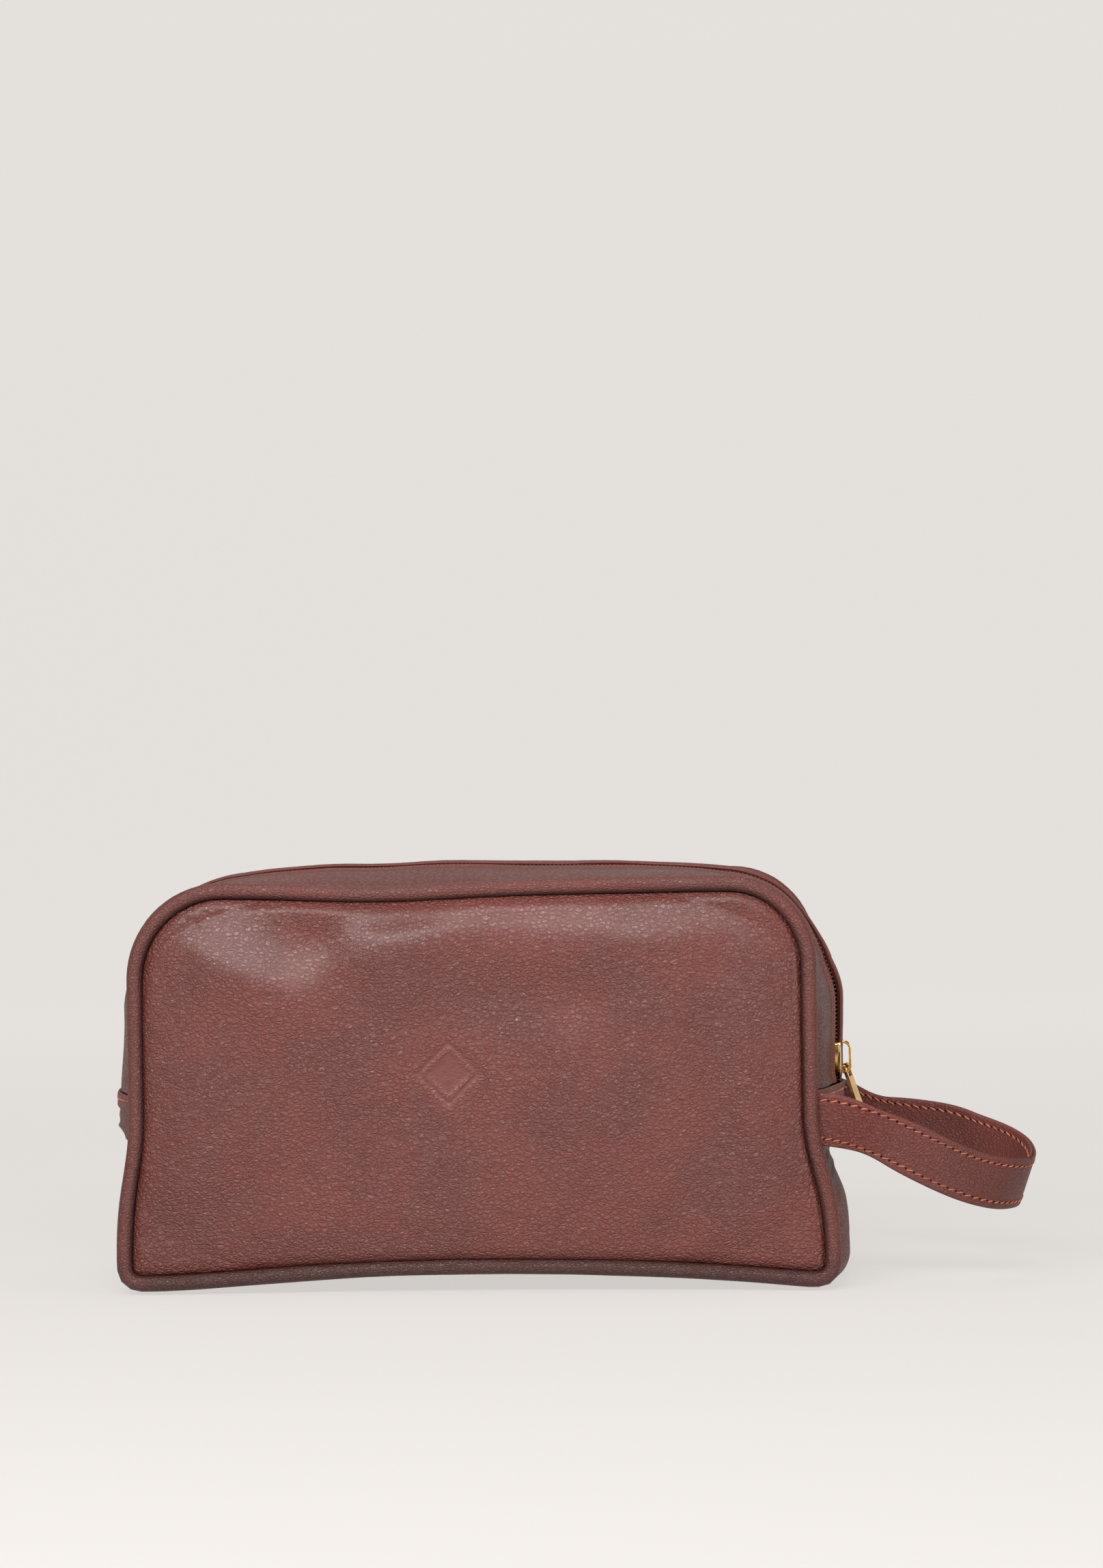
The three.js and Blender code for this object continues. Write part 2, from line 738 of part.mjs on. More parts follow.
// One layer of the strap between two distances outward from the middle line.
// Both ends are rounded about the turning line, by extra sections that narrow towards the root.
function strapLayer(outFrom, outTo, inset) {
  const rows = [];
  const last = loopLine.length - 1;
  const row = (index, back, halfWidth) => {
    const before = loopLine[Math.max(0, index - 1)];
    const after = loopLine[Math.min(last, index + 1)];
    const along = after.clone().sub(before).normalize();
    const out = new THREE.Vector3(along.y, -along.x, 0).normalize();
    const up = out.clone().cross(along).normalize();
    up.multiplyScalar(Math.sign(up.z));
    const centre = loopLine[index].clone().addScaledVector(along, back);
    const corner = (offset, height) =>
      centre.clone().addScaledVector(out, offset).addScaledVector(up, height);
    rows.push([
      corner(outTo, -halfWidth),
      corner(outTo, halfWidth),
      corner(outFrom, halfWidth),
      corner(outFrom, -halfWidth),
    ]);
  };
  const endSteps = 4;
  const roundRows = Array.from({ length: endSteps }, (_, step) => {
    const angle = Math.PI / 2 * (step + 0.6) / (endSteps + 0.6);
    return [-strapRootRadius * Math.cos(angle), (strapRootRadius - inset) * Math.sin(angle)];
  });
  roundRows.forEach(([back, half]) => row(0, back, half));
  loopLine.forEach((point, index) => {
    const share = THREE.MathUtils.smoothstep(point.x - strapAxisX, 0, strapWidenLength);
    row(index, 0, THREE.MathUtils.lerp(strapRootRadius, strapWidth / 2, share) - inset);
  });
  roundRows.slice().reverse().forEach(([back, half]) => row(last, -back, half));
  return loft(rows, false);
}

const coreHalf = strapCoreThickness / 2;
const skinGap = 0.25;
addMesh('handle_outer_strip', strapLayer(coreHalf + skinGap, coreHalf + skinGap + strapSkin, 0), LEATHER);
addMesh('handle_core', strapLayer(-coreHalf, coreHalf, strapCoreInset), BOARD);
addMesh('handle_inner_strip', strapLayer(-coreHalf - skinGap - strapSkin, -coreHalf - skinGap, 0), LEATHER);

// The strap's two ends, sewn into the side seams, with a round mouth that the loop turns in.
const strapHalfThickness = coreHalf + skinGap + strapSkin;
const mouthRadius = strapRootRadius + seamGap;

function strapEndShape() {
  const hornX = strapRootX + endWeb + strapHornLength;
  const mouthAngle = Math.acos((strapAxisX - hornX) / mouthRadius);
  const mouthHeight = mouthRadius * Math.sin(mouthAngle);
  const half = endHalfHeight;
  const shape = new THREE.Shape();
  shape.moveTo(strapRootX, -half);
  shape.lineTo(hornX, -half);
  shape.lineTo(hornX, -mouthHeight);
  shape.absarc(strapAxisX, 0, mouthRadius, Math.PI + mouthAngle, Math.PI - mouthAngle, true);
  shape.lineTo(hornX, half);
  shape.lineTo(strapRootX, half);
  shape.closePath();
  return shape;
}

for (const [place, side] of [['front', -1], ['back', 1]]) {
  const end = new THREE.ExtrudeGeometry(strapEndShape(), {
    depth: 2 * strapHalfThickness,
    bevelEnabled: false,
    curveSegments: 8,
  });
  end.translate(0, 0, -strapHalfThickness);
  end.applyMatrix4(new THREE.Matrix4().makeBasis(
    new THREE.Vector3(1, 0, 0),
    new THREE.Vector3(0, 0, 1),
    new THREE.Vector3(0, -1, 0),
  ));
  const mesh = addMesh(`handle_end_${place}`, end, LEATHER);
  mesh.position.set(0, side * strapHalfDepth, strapRootHeight);
}

export default group;
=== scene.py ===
# A leather shaving kit bag: puffed side panels with piped seams, a wrap-over zip and a wrist loop.
# Metres. +X is the wrist loop's side, -Y the front, +Z up.
# The origin is the middle of the underside.
import json
import math

import bpy
import numpy as np
from mathutils import Matrix, Quaternion, Vector, noise


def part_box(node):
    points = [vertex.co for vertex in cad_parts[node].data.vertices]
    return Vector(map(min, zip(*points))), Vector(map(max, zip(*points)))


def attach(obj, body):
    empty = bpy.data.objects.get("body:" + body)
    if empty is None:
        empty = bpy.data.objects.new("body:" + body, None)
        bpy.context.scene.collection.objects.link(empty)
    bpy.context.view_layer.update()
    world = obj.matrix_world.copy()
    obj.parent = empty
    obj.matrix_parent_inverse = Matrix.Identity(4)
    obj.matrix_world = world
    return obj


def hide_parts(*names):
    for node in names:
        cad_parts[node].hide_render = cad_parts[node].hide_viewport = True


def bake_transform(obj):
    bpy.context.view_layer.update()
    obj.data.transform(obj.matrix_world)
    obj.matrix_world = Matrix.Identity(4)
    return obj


bl_info = {
    "name": "Shaving kit bag",
    "version": (1, 0, 0),
    "blender": (4, 5, 0),
    "location": "3D View > Sidebar > Kit bag",
    "description": "Builds a leather shaving kit bag piece by piece",
    "category": "Add Mesh",
}

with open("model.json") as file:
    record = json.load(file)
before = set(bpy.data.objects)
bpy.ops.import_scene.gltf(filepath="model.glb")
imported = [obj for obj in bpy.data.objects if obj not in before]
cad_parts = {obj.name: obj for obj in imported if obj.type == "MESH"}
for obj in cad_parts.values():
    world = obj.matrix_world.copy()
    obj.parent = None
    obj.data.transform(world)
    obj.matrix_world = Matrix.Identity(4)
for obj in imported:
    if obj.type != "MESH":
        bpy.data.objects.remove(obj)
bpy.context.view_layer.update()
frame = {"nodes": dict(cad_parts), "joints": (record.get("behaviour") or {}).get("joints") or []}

MM = 0.001
FRONT = -1
BACK = 1
SIDES = (("front", FRONT), ("back", BACK))

# ---------- sizes that the frame gives ----------

piping_low, piping_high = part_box("front_piping")
strip_low, strip_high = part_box("zip_strip_front")
gusset_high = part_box("base_gusset")[1]
slider_low, slider_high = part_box("slider_body")
crown_low, crown_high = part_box("slider_crown")
loop_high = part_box("handle_outer_strip")[1]
end_low, end_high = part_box("handle_end_front")
board_low, board_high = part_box("base_board")
joints = {joint["name"]: joint for joint in frame["joints"]}

GUSSET_HALF = -strip_low.y
ZIP_OPENING = -strip_high.y
ZIP_END = gusset_high.z
PIPING_DEPTH = -(piping_low.y + piping_high.y) / 2
STRAP_MIDDLE = (end_low.z + end_high.z) / 2
PIPING_RADIUS = 0.0029
# The middle line of the piping, to a tenth of a millimetre.
SEAM_HALF = round(piping_high.x - PIPING_RADIUS, 4)
SEAM_TOP = round(piping_high.z - PIPING_RADIUS, 4)

# ---------- sizes that the frame doesn't give ----------

BASE_FLAT_HALF = 0.018
BASE_DROP = 0.0040
CLOTH = 0.0005
PANEL_INSET = 0.0010
LINING_INSET = 0.0042
LINING_GAP = 0.0016
ZIP_STITCH_ROWS = (0.0072, 0.0102)
FOLD_HEIGHT = 0.0060
FOLD_STITCH = 0.0023
FOLD_PITCH = 0.0026
COIL_DEPTH = 0.0011
TAPE_DEPTH = 0.0023
TAPE_WIDTH = 0.0120
STRAP_STITCH_INSET = 0.0030
STITCH_LIFT = 0.00012
HOLE_SINK = -0.00002


# ---------- what a user would change ----------


def length(name, description, default):
    """A length in metres for a property group."""
    return bpy.props.FloatProperty(
        name=name, description=description, default=default, unit="LENGTH", precision=5
    )


def colour(name, description, default):
    """A linear colour for a property group."""
    return bpy.props.FloatVectorProperty(
        name=name, description=description, default=default, subtype="COLOR", size=3, min=0, max=1
    )


class KitBagSizes(bpy.types.PropertyGroup):
    """Sizes of the bag's shape and trim."""

    top_half: length("Upper half width", "Middle to the upper side seam", SEAM_HALF - 0.0055)
    base_half_right: length(
        "Base half width, right", "Middle to the right foot of the seam", SEAM_HALF + 0.0023
    )
    base_half_left: length(
        "Base half width, left", "Middle to the left foot of the seam", SEAM_HALF - 0.0003
    )
    seam_top: length("Seam height", "Height of the top seam", SEAM_TOP + 0.0012)
    corner_height: length("Corner height", "Height of the seam at its lower corners", 0.0040)
    arch_height: length("Arch height", "Height of the base seam at its middle", 0.0095)
    top_radius_right: length("Top radius, right", "Radius of the upper right corner", 0.0295)
    top_radius_left: length("Top radius, left", "Radius of the upper left corner", 0.033)
    base_radius: length("Base corner radius", "Radius of the lower corners", 0.007)
    flare_top: length("Flare height", "Height where the sides start to spread", 0.066)
    zip_bulge: length("Zip side bulge", "How far the side stands out along the zip", 0.0112)
    corner_bulge: length("Corner bulge", "How far the gusset stands out at the upper corners", 0.0022)
    top_bulge_left: length("Top bulge, left", "How far the top stands out at the left", 0.0096)
    top_bulge_right: length("Top bulge, right", "How far the top stands out at the right", 0.0072)
    waist_height: length("Waist height", "Where the sides are drawn in below the loop", 0.046)
    waist_bulge: length("Waist bulge", "How far the sides stand out at the waist", 0.0034)
    base_bulge: length("Lower bulge", "How far the lower side stands out", 0.0062)
    piping_radius: length("Piping radius", "Half the thickness of the piping", PIPING_RADIUS)
    panel_puff: length("Panel puff", "How far a side panel domes outward", 0.0052)
    leather: length("Leather", "Thickness of the gusset leather", 0.0016)
    stitch_pitch: length("Zip stitch", "Length of one stitch beside the zip", 0.0022)
    strap_pitch: length("Strap stitch", "Length of one stitch on the strap", 0.0034)
    strap_width: length("Strap width", "Width of the wrist loop", 0.020)
    strap_droop: length("Strap droop", "How far the loop's end hangs below its root", 0.0275)
    tooth_pitch: length("Tooth pitch", "Distance between coil teeth on one side", 0.0015)
    mark_half: length("Mark size", "Half the width of the pressed lozenge", 0.0125)


class KitBagColours(bpy.types.PropertyGroup):
    """Base colours of the materials."""

    leather: colour("Leather", "Side panels and gusset", (0.104, 0.019, 0.0125))
    # The deep leather colour is also the base of the painted shade in the seam grooves, along the lower
    # piping and in the needle holes.
    leather_deep: colour("Leather, deep", "Creases and darker patches", (0.075, 0.017, 0.012))
    piping: colour("Piping", "Piping leather", (0.090, 0.019, 0.014))
    thread: colour("Thread", "Topstitching", (0.34, 0.095, 0.045))
    tape: colour("Tape", "Zip tape", (0.045, 0.012, 0.010))
    coil: colour("Coil", "Zip coil", (0.060, 0.016, 0.013))
    gold: colour("Gold", "Slider and puller", (0.78, 0.50, 0.18))
    lining: colour("Lining", "Inside cloth", (0.045, 0.030, 0.025))
    board: colour("Board", "Stiffener", (0.33, 0.26, 0.18))
    backdrop: colour("Backdrop", "Floor and backdrop", (0.776, 0.745, 0.716))


def sizes():
    return bpy.context.scene.kit_bag_sizes


def colours():
    return bpy.context.scene.kit_bag_colours


# ---------- materials ----------


class Wire:
    """A socket in a node tree. Sums, differences and products of wires add Math nodes."""

    def __init__(self, finish, socket):
        self.finish = finish
        self.socket = socket

    def _math(self, operation, first, second):
        return self.finish.node("ShaderNodeMath", {"operation": operation}, {0: first, 1: second})

    def __add__(self, other):
        return self._math("ADD", self, other)

    __radd__ = __add__

    def __sub__(self, other):
        return self._math("SUBTRACT", self, other)

    def __rsub__(self, other):
        return self._math("SUBTRACT", other, self)

    def __mul__(self, other):
        return self._math("MULTIPLY", self, other)

    __rmul__ = __mul__


class Finish:
    """One material and its node tree."""

    def __init__(self, name):
        self.material = bpy.data.materials.new(name)
        self.material.use_nodes = True
        self.tree = self.material.node_tree
        self.tree.nodes.clear()

    def node(self, kind, settings=None, inputs=None, out=0):
        """Adds a node, sets its settings, then gives its inputs their values or links."""
        node = self.tree.nodes.new(kind)
        for key, value in (settings or {}).items():
            if key == "stops":
                for index, (place, shade) in enumerate(value):
                    if index >= len(node.color_ramp.elements):
                        node.color_ramp.elements.new(place)
                    node.color_ramp.elements[index].position = place
                    node.color_ramp.elements[index].color = (shade, shade, shade, 1)
            else:
                setattr(node, key, value)
        for key, value in (inputs or {}).items():
            if isinstance(value, Wire):
                self.tree.links.new(value.socket, node.inputs[key])
            else:
                node.inputs[key].default_value = value
        return Wire(self, node.outputs[out]) if len(node.outputs) else None

    def place(self, scale=(1, 1, 1)):
        """Object coordinates, stretched."""
        spot = self.node("ShaderNodeTexCoord", out="Object")
        return self.node("ShaderNodeMapping", {}, {"Vector": spot, "Scale": scale})

    def noise(self, vector, scale, detail=3.0, roughness=0.55):
        return self.node(
            "ShaderNodeTexNoise",
            {},
            {"Vector": vector, "Scale": scale, "Detail": detail, "Roughness": roughness},
        )

    def ramp(self, value, low, high):
        """A value stretched so that low becomes 0 and high becomes 1, softly."""
        return self.node(
            "ShaderNodeMapRange",
            {"interpolation_type": "SMOOTHSTEP"},
            {"Value": value, "From Min": low, "From Max": high},
        )

    def blend(self, share, first, second):
        """Two colours mixed by a share."""
        return self.node(
            "ShaderNodeMix", {"data_type": "RGBA"}, {0: share, 6: first, 7: second}, out=2
        )

    def attribute(self, name):
        return self.node("ShaderNodeAttribute", {"attribute_name": name}, out="Fac")

    def warp(self, vector, scale, amount):
        """A vector pushed about by noise."""
        push = self.node("ShaderNodeTexNoise", {}, {"Vector": vector, "Scale": scale}, out="Color")
        centred = self.node(
            "ShaderNodeVectorMath", {"operation": "SUBTRACT"}, {0: push, 1: (0.5, 0.5, 0.5)}
        )
        scaled = self.node(
            "ShaderNodeVectorMath", {"operation": "SCALE"}, {0: centred, "Scale": amount}
        )
        return self.node("ShaderNodeVectorMath", {"operation": "ADD"}, {0: vector, 1: scaled})

    def bump(self, height, distance, strength=1.0, under=None):
        inputs = {"Height": height, "Distance": distance, "Strength": strength}
        if under is not None:
            inputs["Normal"] = under
        return self.node("ShaderNodeBump", {}, inputs)

    def surface(self, **inputs):
        """Ends the tree in one Principled shader. Underscores in the names stand for spaces."""
        named = {key.replace("_", " "): value for key, value in inputs.items()}
        shader = self.node("ShaderNodeBsdfPrincipled", {}, named)
        self.node("ShaderNodeOutputMaterial", {}, {"Surface": shader})
        return self.material


def opaque(rgb, share=1.0):
    """A colour with alpha, darkened or lightened by a share."""
    return tuple(min(1.0, part * share) for part in rgb) + (1.0,)


def pebble_leather(name, rgb, deep, grain=1.0, cell=1.75 * MM, gloss=0.32, coat=0.15):
    """Semi-gloss leather with a pebble grain, creased fine lines, a mottled dye and painted shade in
    the seam grooves and along the lower piping.
    """
    finish = Finish(name)
    spot = finish.place()
    warped = finish.warp(finish.place((0.72, 0.9, 1.15)), 420, 0.0011)
    smooth = finish.attribute("pressed")
    worn = finish.attribute("worked")

    cells = finish.node(
        "ShaderNodeTexVoronoi",
        {"feature": "DISTANCE_TO_EDGE"},
        {"Vector": warped, "Scale": 1 / cell, "Randomness": 1.0},
    )
    pebble = finish.ramp(cells, 0.0, 0.22)
    fine = finish.node(
        "ShaderNodeTexVoronoi",
        {"feature": "DISTANCE_TO_EDGE"},
        {"Vector": warped, "Scale": 2.7 / cell, "Randomness": 1.0},
    )
    fine_pebble = finish.ramp(fine, 0.0, 0.25)
    crease_field = finish.noise(finish.warp(spot, 90, 0.006), 130, 4.0, 0.6)
    crease = finish.ramp(crease_field, 0.36, 0.60)
    height = pebble * 0.62 + fine_pebble * 0.20 + crease * 0.35

    patches = finish.noise(spot, 24, 3.0, 0.6)
    patch = finish.ramp(patches, 0.36, 0.66)
    shade = finish.blend(patch, opaque(rgb, 0.86), opaque(rgb, 1.12))
    valley = (1 - pebble) * (1 - smooth) * 0.55
    dyed = finish.blend(valley, shade, opaque(deep))
    pressed = finish.blend(smooth * 0.55, dyed, opaque(deep, 1.25))
    rubbed = finish.blend(worn * 0.35, pressed, opaque(rgb, 1.5))
    # Painted shade: the colour is pulled towards a near-black brown where the seam grooves and the
    # lower piping fall into shade.
    soiled = finish.blend(finish.attribute("soiled") * 0.8, rubbed, opaque(deep, 0.35))

    rough = gloss + (1 - pebble) * 0.16 + patch * 0.06 + smooth * 0.05
    depth = (1 - smooth * 0.85) * grain
    relief = finish.bump(height * depth * (1 + worn * 0.9), 0.00036, 1.0)
    soft = finish.bump(finish.noise(spot, 62, 2.0, 0.5), 0.0012, 0.35, relief)
    return finish.surface(
        Base_Color=soiled,
        Roughness=rough,
        Specular_IOR_Level=0.45,
        Coat_Weight=coat,
        Coat_Roughness=0.30,
        Normal=soft,
    )


def thread_finish():
    """Waxed sewing thread with a fuzzy surface and an uneven dye."""
    finish = Finish("sewing_thread")
    spot = finish.place()
    fuzz = finish.noise(spot, 1500, 2.0)
    tone = finish.noise(spot, 60, 2.0)
    rgb = colours().thread
    shade = finish.blend(finish.ramp(tone, 0.35, 0.65), opaque(rgb, 0.75), opaque(rgb, 1.3))
    return finish.surface(
        Base_Color=shade, Roughness=0.62, Normal=finish.bump(fuzz, 0.00012, 0.7)
    )


def hole_shade_finish():
    """Painted shade for the needle holes: a near-black brown."""
    finish = Finish("needle_hole")
    tone = finish.noise(finish.place(), 900, 1.0)
    rgb = colours().leather_deep
    shade = finish.blend(tone, opaque(rgb, 0.10), opaque(rgb, 0.30))
    return finish.surface(Base_Color=shade, Roughness=0.9, Specular_IOR_Level=0.1)


def woven(name, rgb, count):
    """Plain weave cloth, from two crossed waves."""
    finish = Finish(name)
    flat = finish.node("ShaderNodeTexCoord", out="Object")
    across = finish.node(
        "ShaderNodeTexWave", {"bands_direction": "DIAGONAL"}, {"Vector": flat, "Scale": count}
    )
    along = finish.node(
        "ShaderNodeTexWave", {"bands_direction": "Y"}, {"Vector": flat, "Scale": count}
    )
    weave = across * 0.5 + along * 0.5
    slub = finish.noise(flat, 160, 3.0)
    shade = finish.blend(weave * 0.6 + slub * 0.4, opaque(rgb, 0.6), opaque(rgb, 1.5))
    return finish.surface(
        Base_Color=shade, Roughness=0.85, Normal=finish.bump(weave, 0.0002, 0.8)
    )


def nylon():
    """Satin nylon with faint drawing lines."""
    finish = Finish("nylon_coil")
    spot = finish.place()
    tone = finish.ramp(finish.noise(spot, 300, 2.0), 0.3, 0.7)
    rgb = colours().coil
    shade = finish.blend(tone, opaque(rgb, 0.8), opaque(rgb, 1.4))
    return finish.surface(
        Base_Color=shade,
        Roughness=0.34 + tone * 0.1,
        Normal=finish.bump(finish.noise(spot, 1800, 1.0), 0.00005, 0.4),
    )


def plated_gold():
    """Polished pale gold plating with faint handling marks."""
    finish = Finish("plated_gold")
    spot = finish.place()
    haze = finish.ramp(finish.noise(spot, 240, 4.0, 0.65), 0.42, 0.72)
    scratch = finish.noise(finish.place((1, 1, 9)), 900, 2.0)
    rgb = colours().gold
    shade = finish.blend(haze, opaque(rgb, 1.0), opaque(rgb, 0.82))
    return finish.surface(
        Base_Color=shade,
        Metallic=1.0,
        Roughness=0.14 + haze * 0.16,
        Normal=finish.bump(scratch, 0.00002, 0.35),
    )


def fibre_board():
    """Pressed fibre board, speckled."""
    finish = Finish("fibre_board")
    spot = finish.place()
    speck = finish.ramp(finish.noise(spot, 700, 4.0, 0.7), 0.4, 0.62)
    rgb = colours().board
    shade = finish.blend(speck, opaque(rgb, 0.75), opaque(rgb, 1.15))
    return finish.surface(
        Base_Color=shade, Roughness=0.9, Normal=finish.bump(speck, 0.0001, 0.6)
    )


def piping_cotton():
    """Twisted cotton filler cord."""
    finish = Finish("cotton_cord")
    spot = finish.place()
    twist = finish.node(
        "ShaderNodeTexWave", {"bands_direction": "DIAGONAL"}, {"Vector": spot, "Scale": 240}
    )
    shade = finish.blend(twist, (0.50, 0.45, 0.36, 1), (0.72, 0.68, 0.58, 1))
    return finish.surface(
        Base_Color=shade, Roughness=0.95, Normal=finish.bump(twist, 0.0003, 0.8)
    )


materials = {}


def make_materials():
    """Makes every finish once."""
    hues = colours()
    materials["panel"] = pebble_leather("panel_leather", hues.leather, hues.leather_deep)
    materials["gusset"] = pebble_leather(
        "gusset_leather", hues.leather, hues.leather_deep, 1.7, 1.7 * MM, 0.38, 0.0
    )
    materials["piping"] = pebble_leather(
        "piping_leather", hues.piping, hues.leather_deep, 0.60, 1.3 * MM, 0.36, 0.0
    )
    materials["strap"] = pebble_leather(
        "strap_leather", hues.leather, hues.leather_deep, 0.80, 1.3 * MM, 0.40, 0.0
    )
    materials["thread"] = thread_finish()
    materials["hole"] = hole_shade_finish()
    materials["tape"] = woven("zip_tape_cloth", hues.tape, 900)
    materials["lining"] = woven("lining_cloth", hues.lining, 600)
    materials["coil"] = nylon()
    materials["gold"] = plated_gold()
    materials["board"] = fibre_board()
    materials["cotton"] = piping_cotton()


# ---------- mesh helpers ----------


def start_clean():
    """Leaves edit mode and deselects everything."""
    if bpy.context.object and bpy.context.object.mode != "OBJECT":
        bpy.ops.object.mode_set(mode="OBJECT")
    bpy.ops.object.select_all(action="DESELECT")


def adopt(name):
    """Names the primitive that was just added."""
    piece = bpy.context.object
    piece.name = name
    piece.data.name = name
    return piece


def points_of(piece):
    flat = np.empty(len(piece.data.vertices) * 3)
    piece.data.vertices.foreach_get("co", flat)
    return flat.reshape(-1, 3)


def lay(piece, points):
    """Moves every vertex of a piece to its new place."""
    piece.data.vertices.foreach_set("co", np.asarray(points, dtype=float).ravel())
    piece.data.update()


def add_grid(name, columns, rows):
    """A unit grid with the shares u and v of each vertex along its two sides."""
    start_clean()
    bpy.ops.mesh.primitive_grid_add(x_subdivisions=columns, y_subdivisions=rows, size=1)
    piece = adopt(name)
    flat = points_of(piece)
    return piece, flat[:, 0] + 0.5, flat[:, 1] + 0.5


def apply_modifier(piece, kind, **settings):
    """Adds a modifier, sets it and applies it."""
    start_clean()
    bpy.context.view_layer.objects.active = piece
    piece.select_set(True)
    bpy.ops.object.modifier_add(type=kind)
    modifier = piece.modifiers[-1]
    for key, value in settings.items():
        setattr(modifier, key, value)
    bpy.ops.object.modifier_apply(modifier=modifier.name)


def face_out(piece):
    """Merges doubled vertices and turns every face outward."""
    start_clean()
    bpy.context.view_layer.objects.active = piece
    piece.select_set(True)
    bpy.ops.object.mode_set(mode="EDIT")
    bpy.ops.mesh.select_all(action="SELECT")
    bpy.ops.mesh.remove_doubles(threshold=0.00001)
    bpy.ops.mesh.normals_make_consistent(inside=False)
    bpy.ops.object.mode_set(mode="OBJECT")


def paint_attribute(piece, name, values):
    """Stores one number per vertex for a material to read."""
    attribute = piece.data.attributes.new(name, "FLOAT", "POINT")
    attribute.data.foreach_set("value", np.asarray(values, dtype=np.float32))


def settle(piece, material, body="bag", replaces=(), angle=40):
    """Smooths a finished piece, gives it its material and fixes it to its body."""
    start_clean()
    bpy.context.view_layer.objects.active = piece
    piece.select_set(True)
    bpy.ops.object.shade_smooth_by_angle(angle=math.radians(angle))
    piece.data.materials.clear()
    piece.data.materials.append(materials[material])
    if replaces:
        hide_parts(*replaces)
    if body:
        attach(piece, body)
    return piece


def scatter(name, template, places):
    """One mesh that holds a copy of the template at each place, given as 4 by 4 matrices."""
    base = points_of(template)
    faces = np.array([list(polygon.vertices) + [polygon.vertices[0]] * (4 - len(polygon.vertices))
                      for polygon in template.data.polygons])
    count = len(base)
    matrices = np.array([np.array(place) for place in places])
    moved = np.einsum("nij,vj->nvi", matrices[:, :3, :3], base) + matrices[:, None, :3, 3]
    shifted = faces[None, :, :] + (np.arange(len(matrices)) * count)[:, None, None]
    mesh = bpy.data.meshes.new(name)
    corners = [
        tuple(dict.fromkeys(face)) for face in shifted.reshape(-1, faces.shape[1]).tolist()
    ]
    mesh.from_pydata(moved.reshape(-1, 3).tolist(), [], corners)
    mesh.update()
    piece = bpy.data.objects.new(name, mesh)
    bpy.context.collection.objects.link(piece)
    bpy.data.objects.remove(template)
    return piece


def frames_on(surface, along, across, lift=0.0, step=0.0004):
    """Places on a surface: x runs along it, y across it and z out of it."""
    centre = surface(along, across)
    ahead = surface(along + step, across) - surface(along - step, across)
    aside = surface(along, across + step) - surface(along, across - step)
    ahead /= np.linalg.norm(ahead, axis=1)[:, None]
    out = np.cross(ahead, aside)
    out /= np.linalg.norm(out, axis=1)[:, None]
    side = np.cross(out, ahead)
    matrices = np.zeros((len(centre), 4, 4))
    matrices[:, :3, 0] = ahead
    matrices[:, :3, 1] = side
    matrices[:, :3, 2] = out
    matrices[:, :3, 3] = centre + out * lift
    matrices[:, 3, 3] = 1
    return matrices


def rumple(points, scale, seed):
    """Smooth noise between -1 and 1 at each point."""
    shift = Vector((seed, seed * 1.7, -seed))
    return np.array([noise.noise(Vector(point) * scale + shift) for point in points])


def smoothstep(value, low, high):
    share = np.clip((value - low) / (high - low), 0, 1)
    return share * share * (3 - 2 * share)


# ---------- the seam line ----------


def bezier(points, count):
    """Points on a Bezier curve of any degree."""
    share = np.linspace(0, 1, count)[:, None]
    layers = [np.array(point, dtype=float)[None, :] for point in points]
    while len(layers) > 1:
        layers = [a * (1 - share) + b * share for a, b in zip(layers, layers[1:])]
    return layers[0]


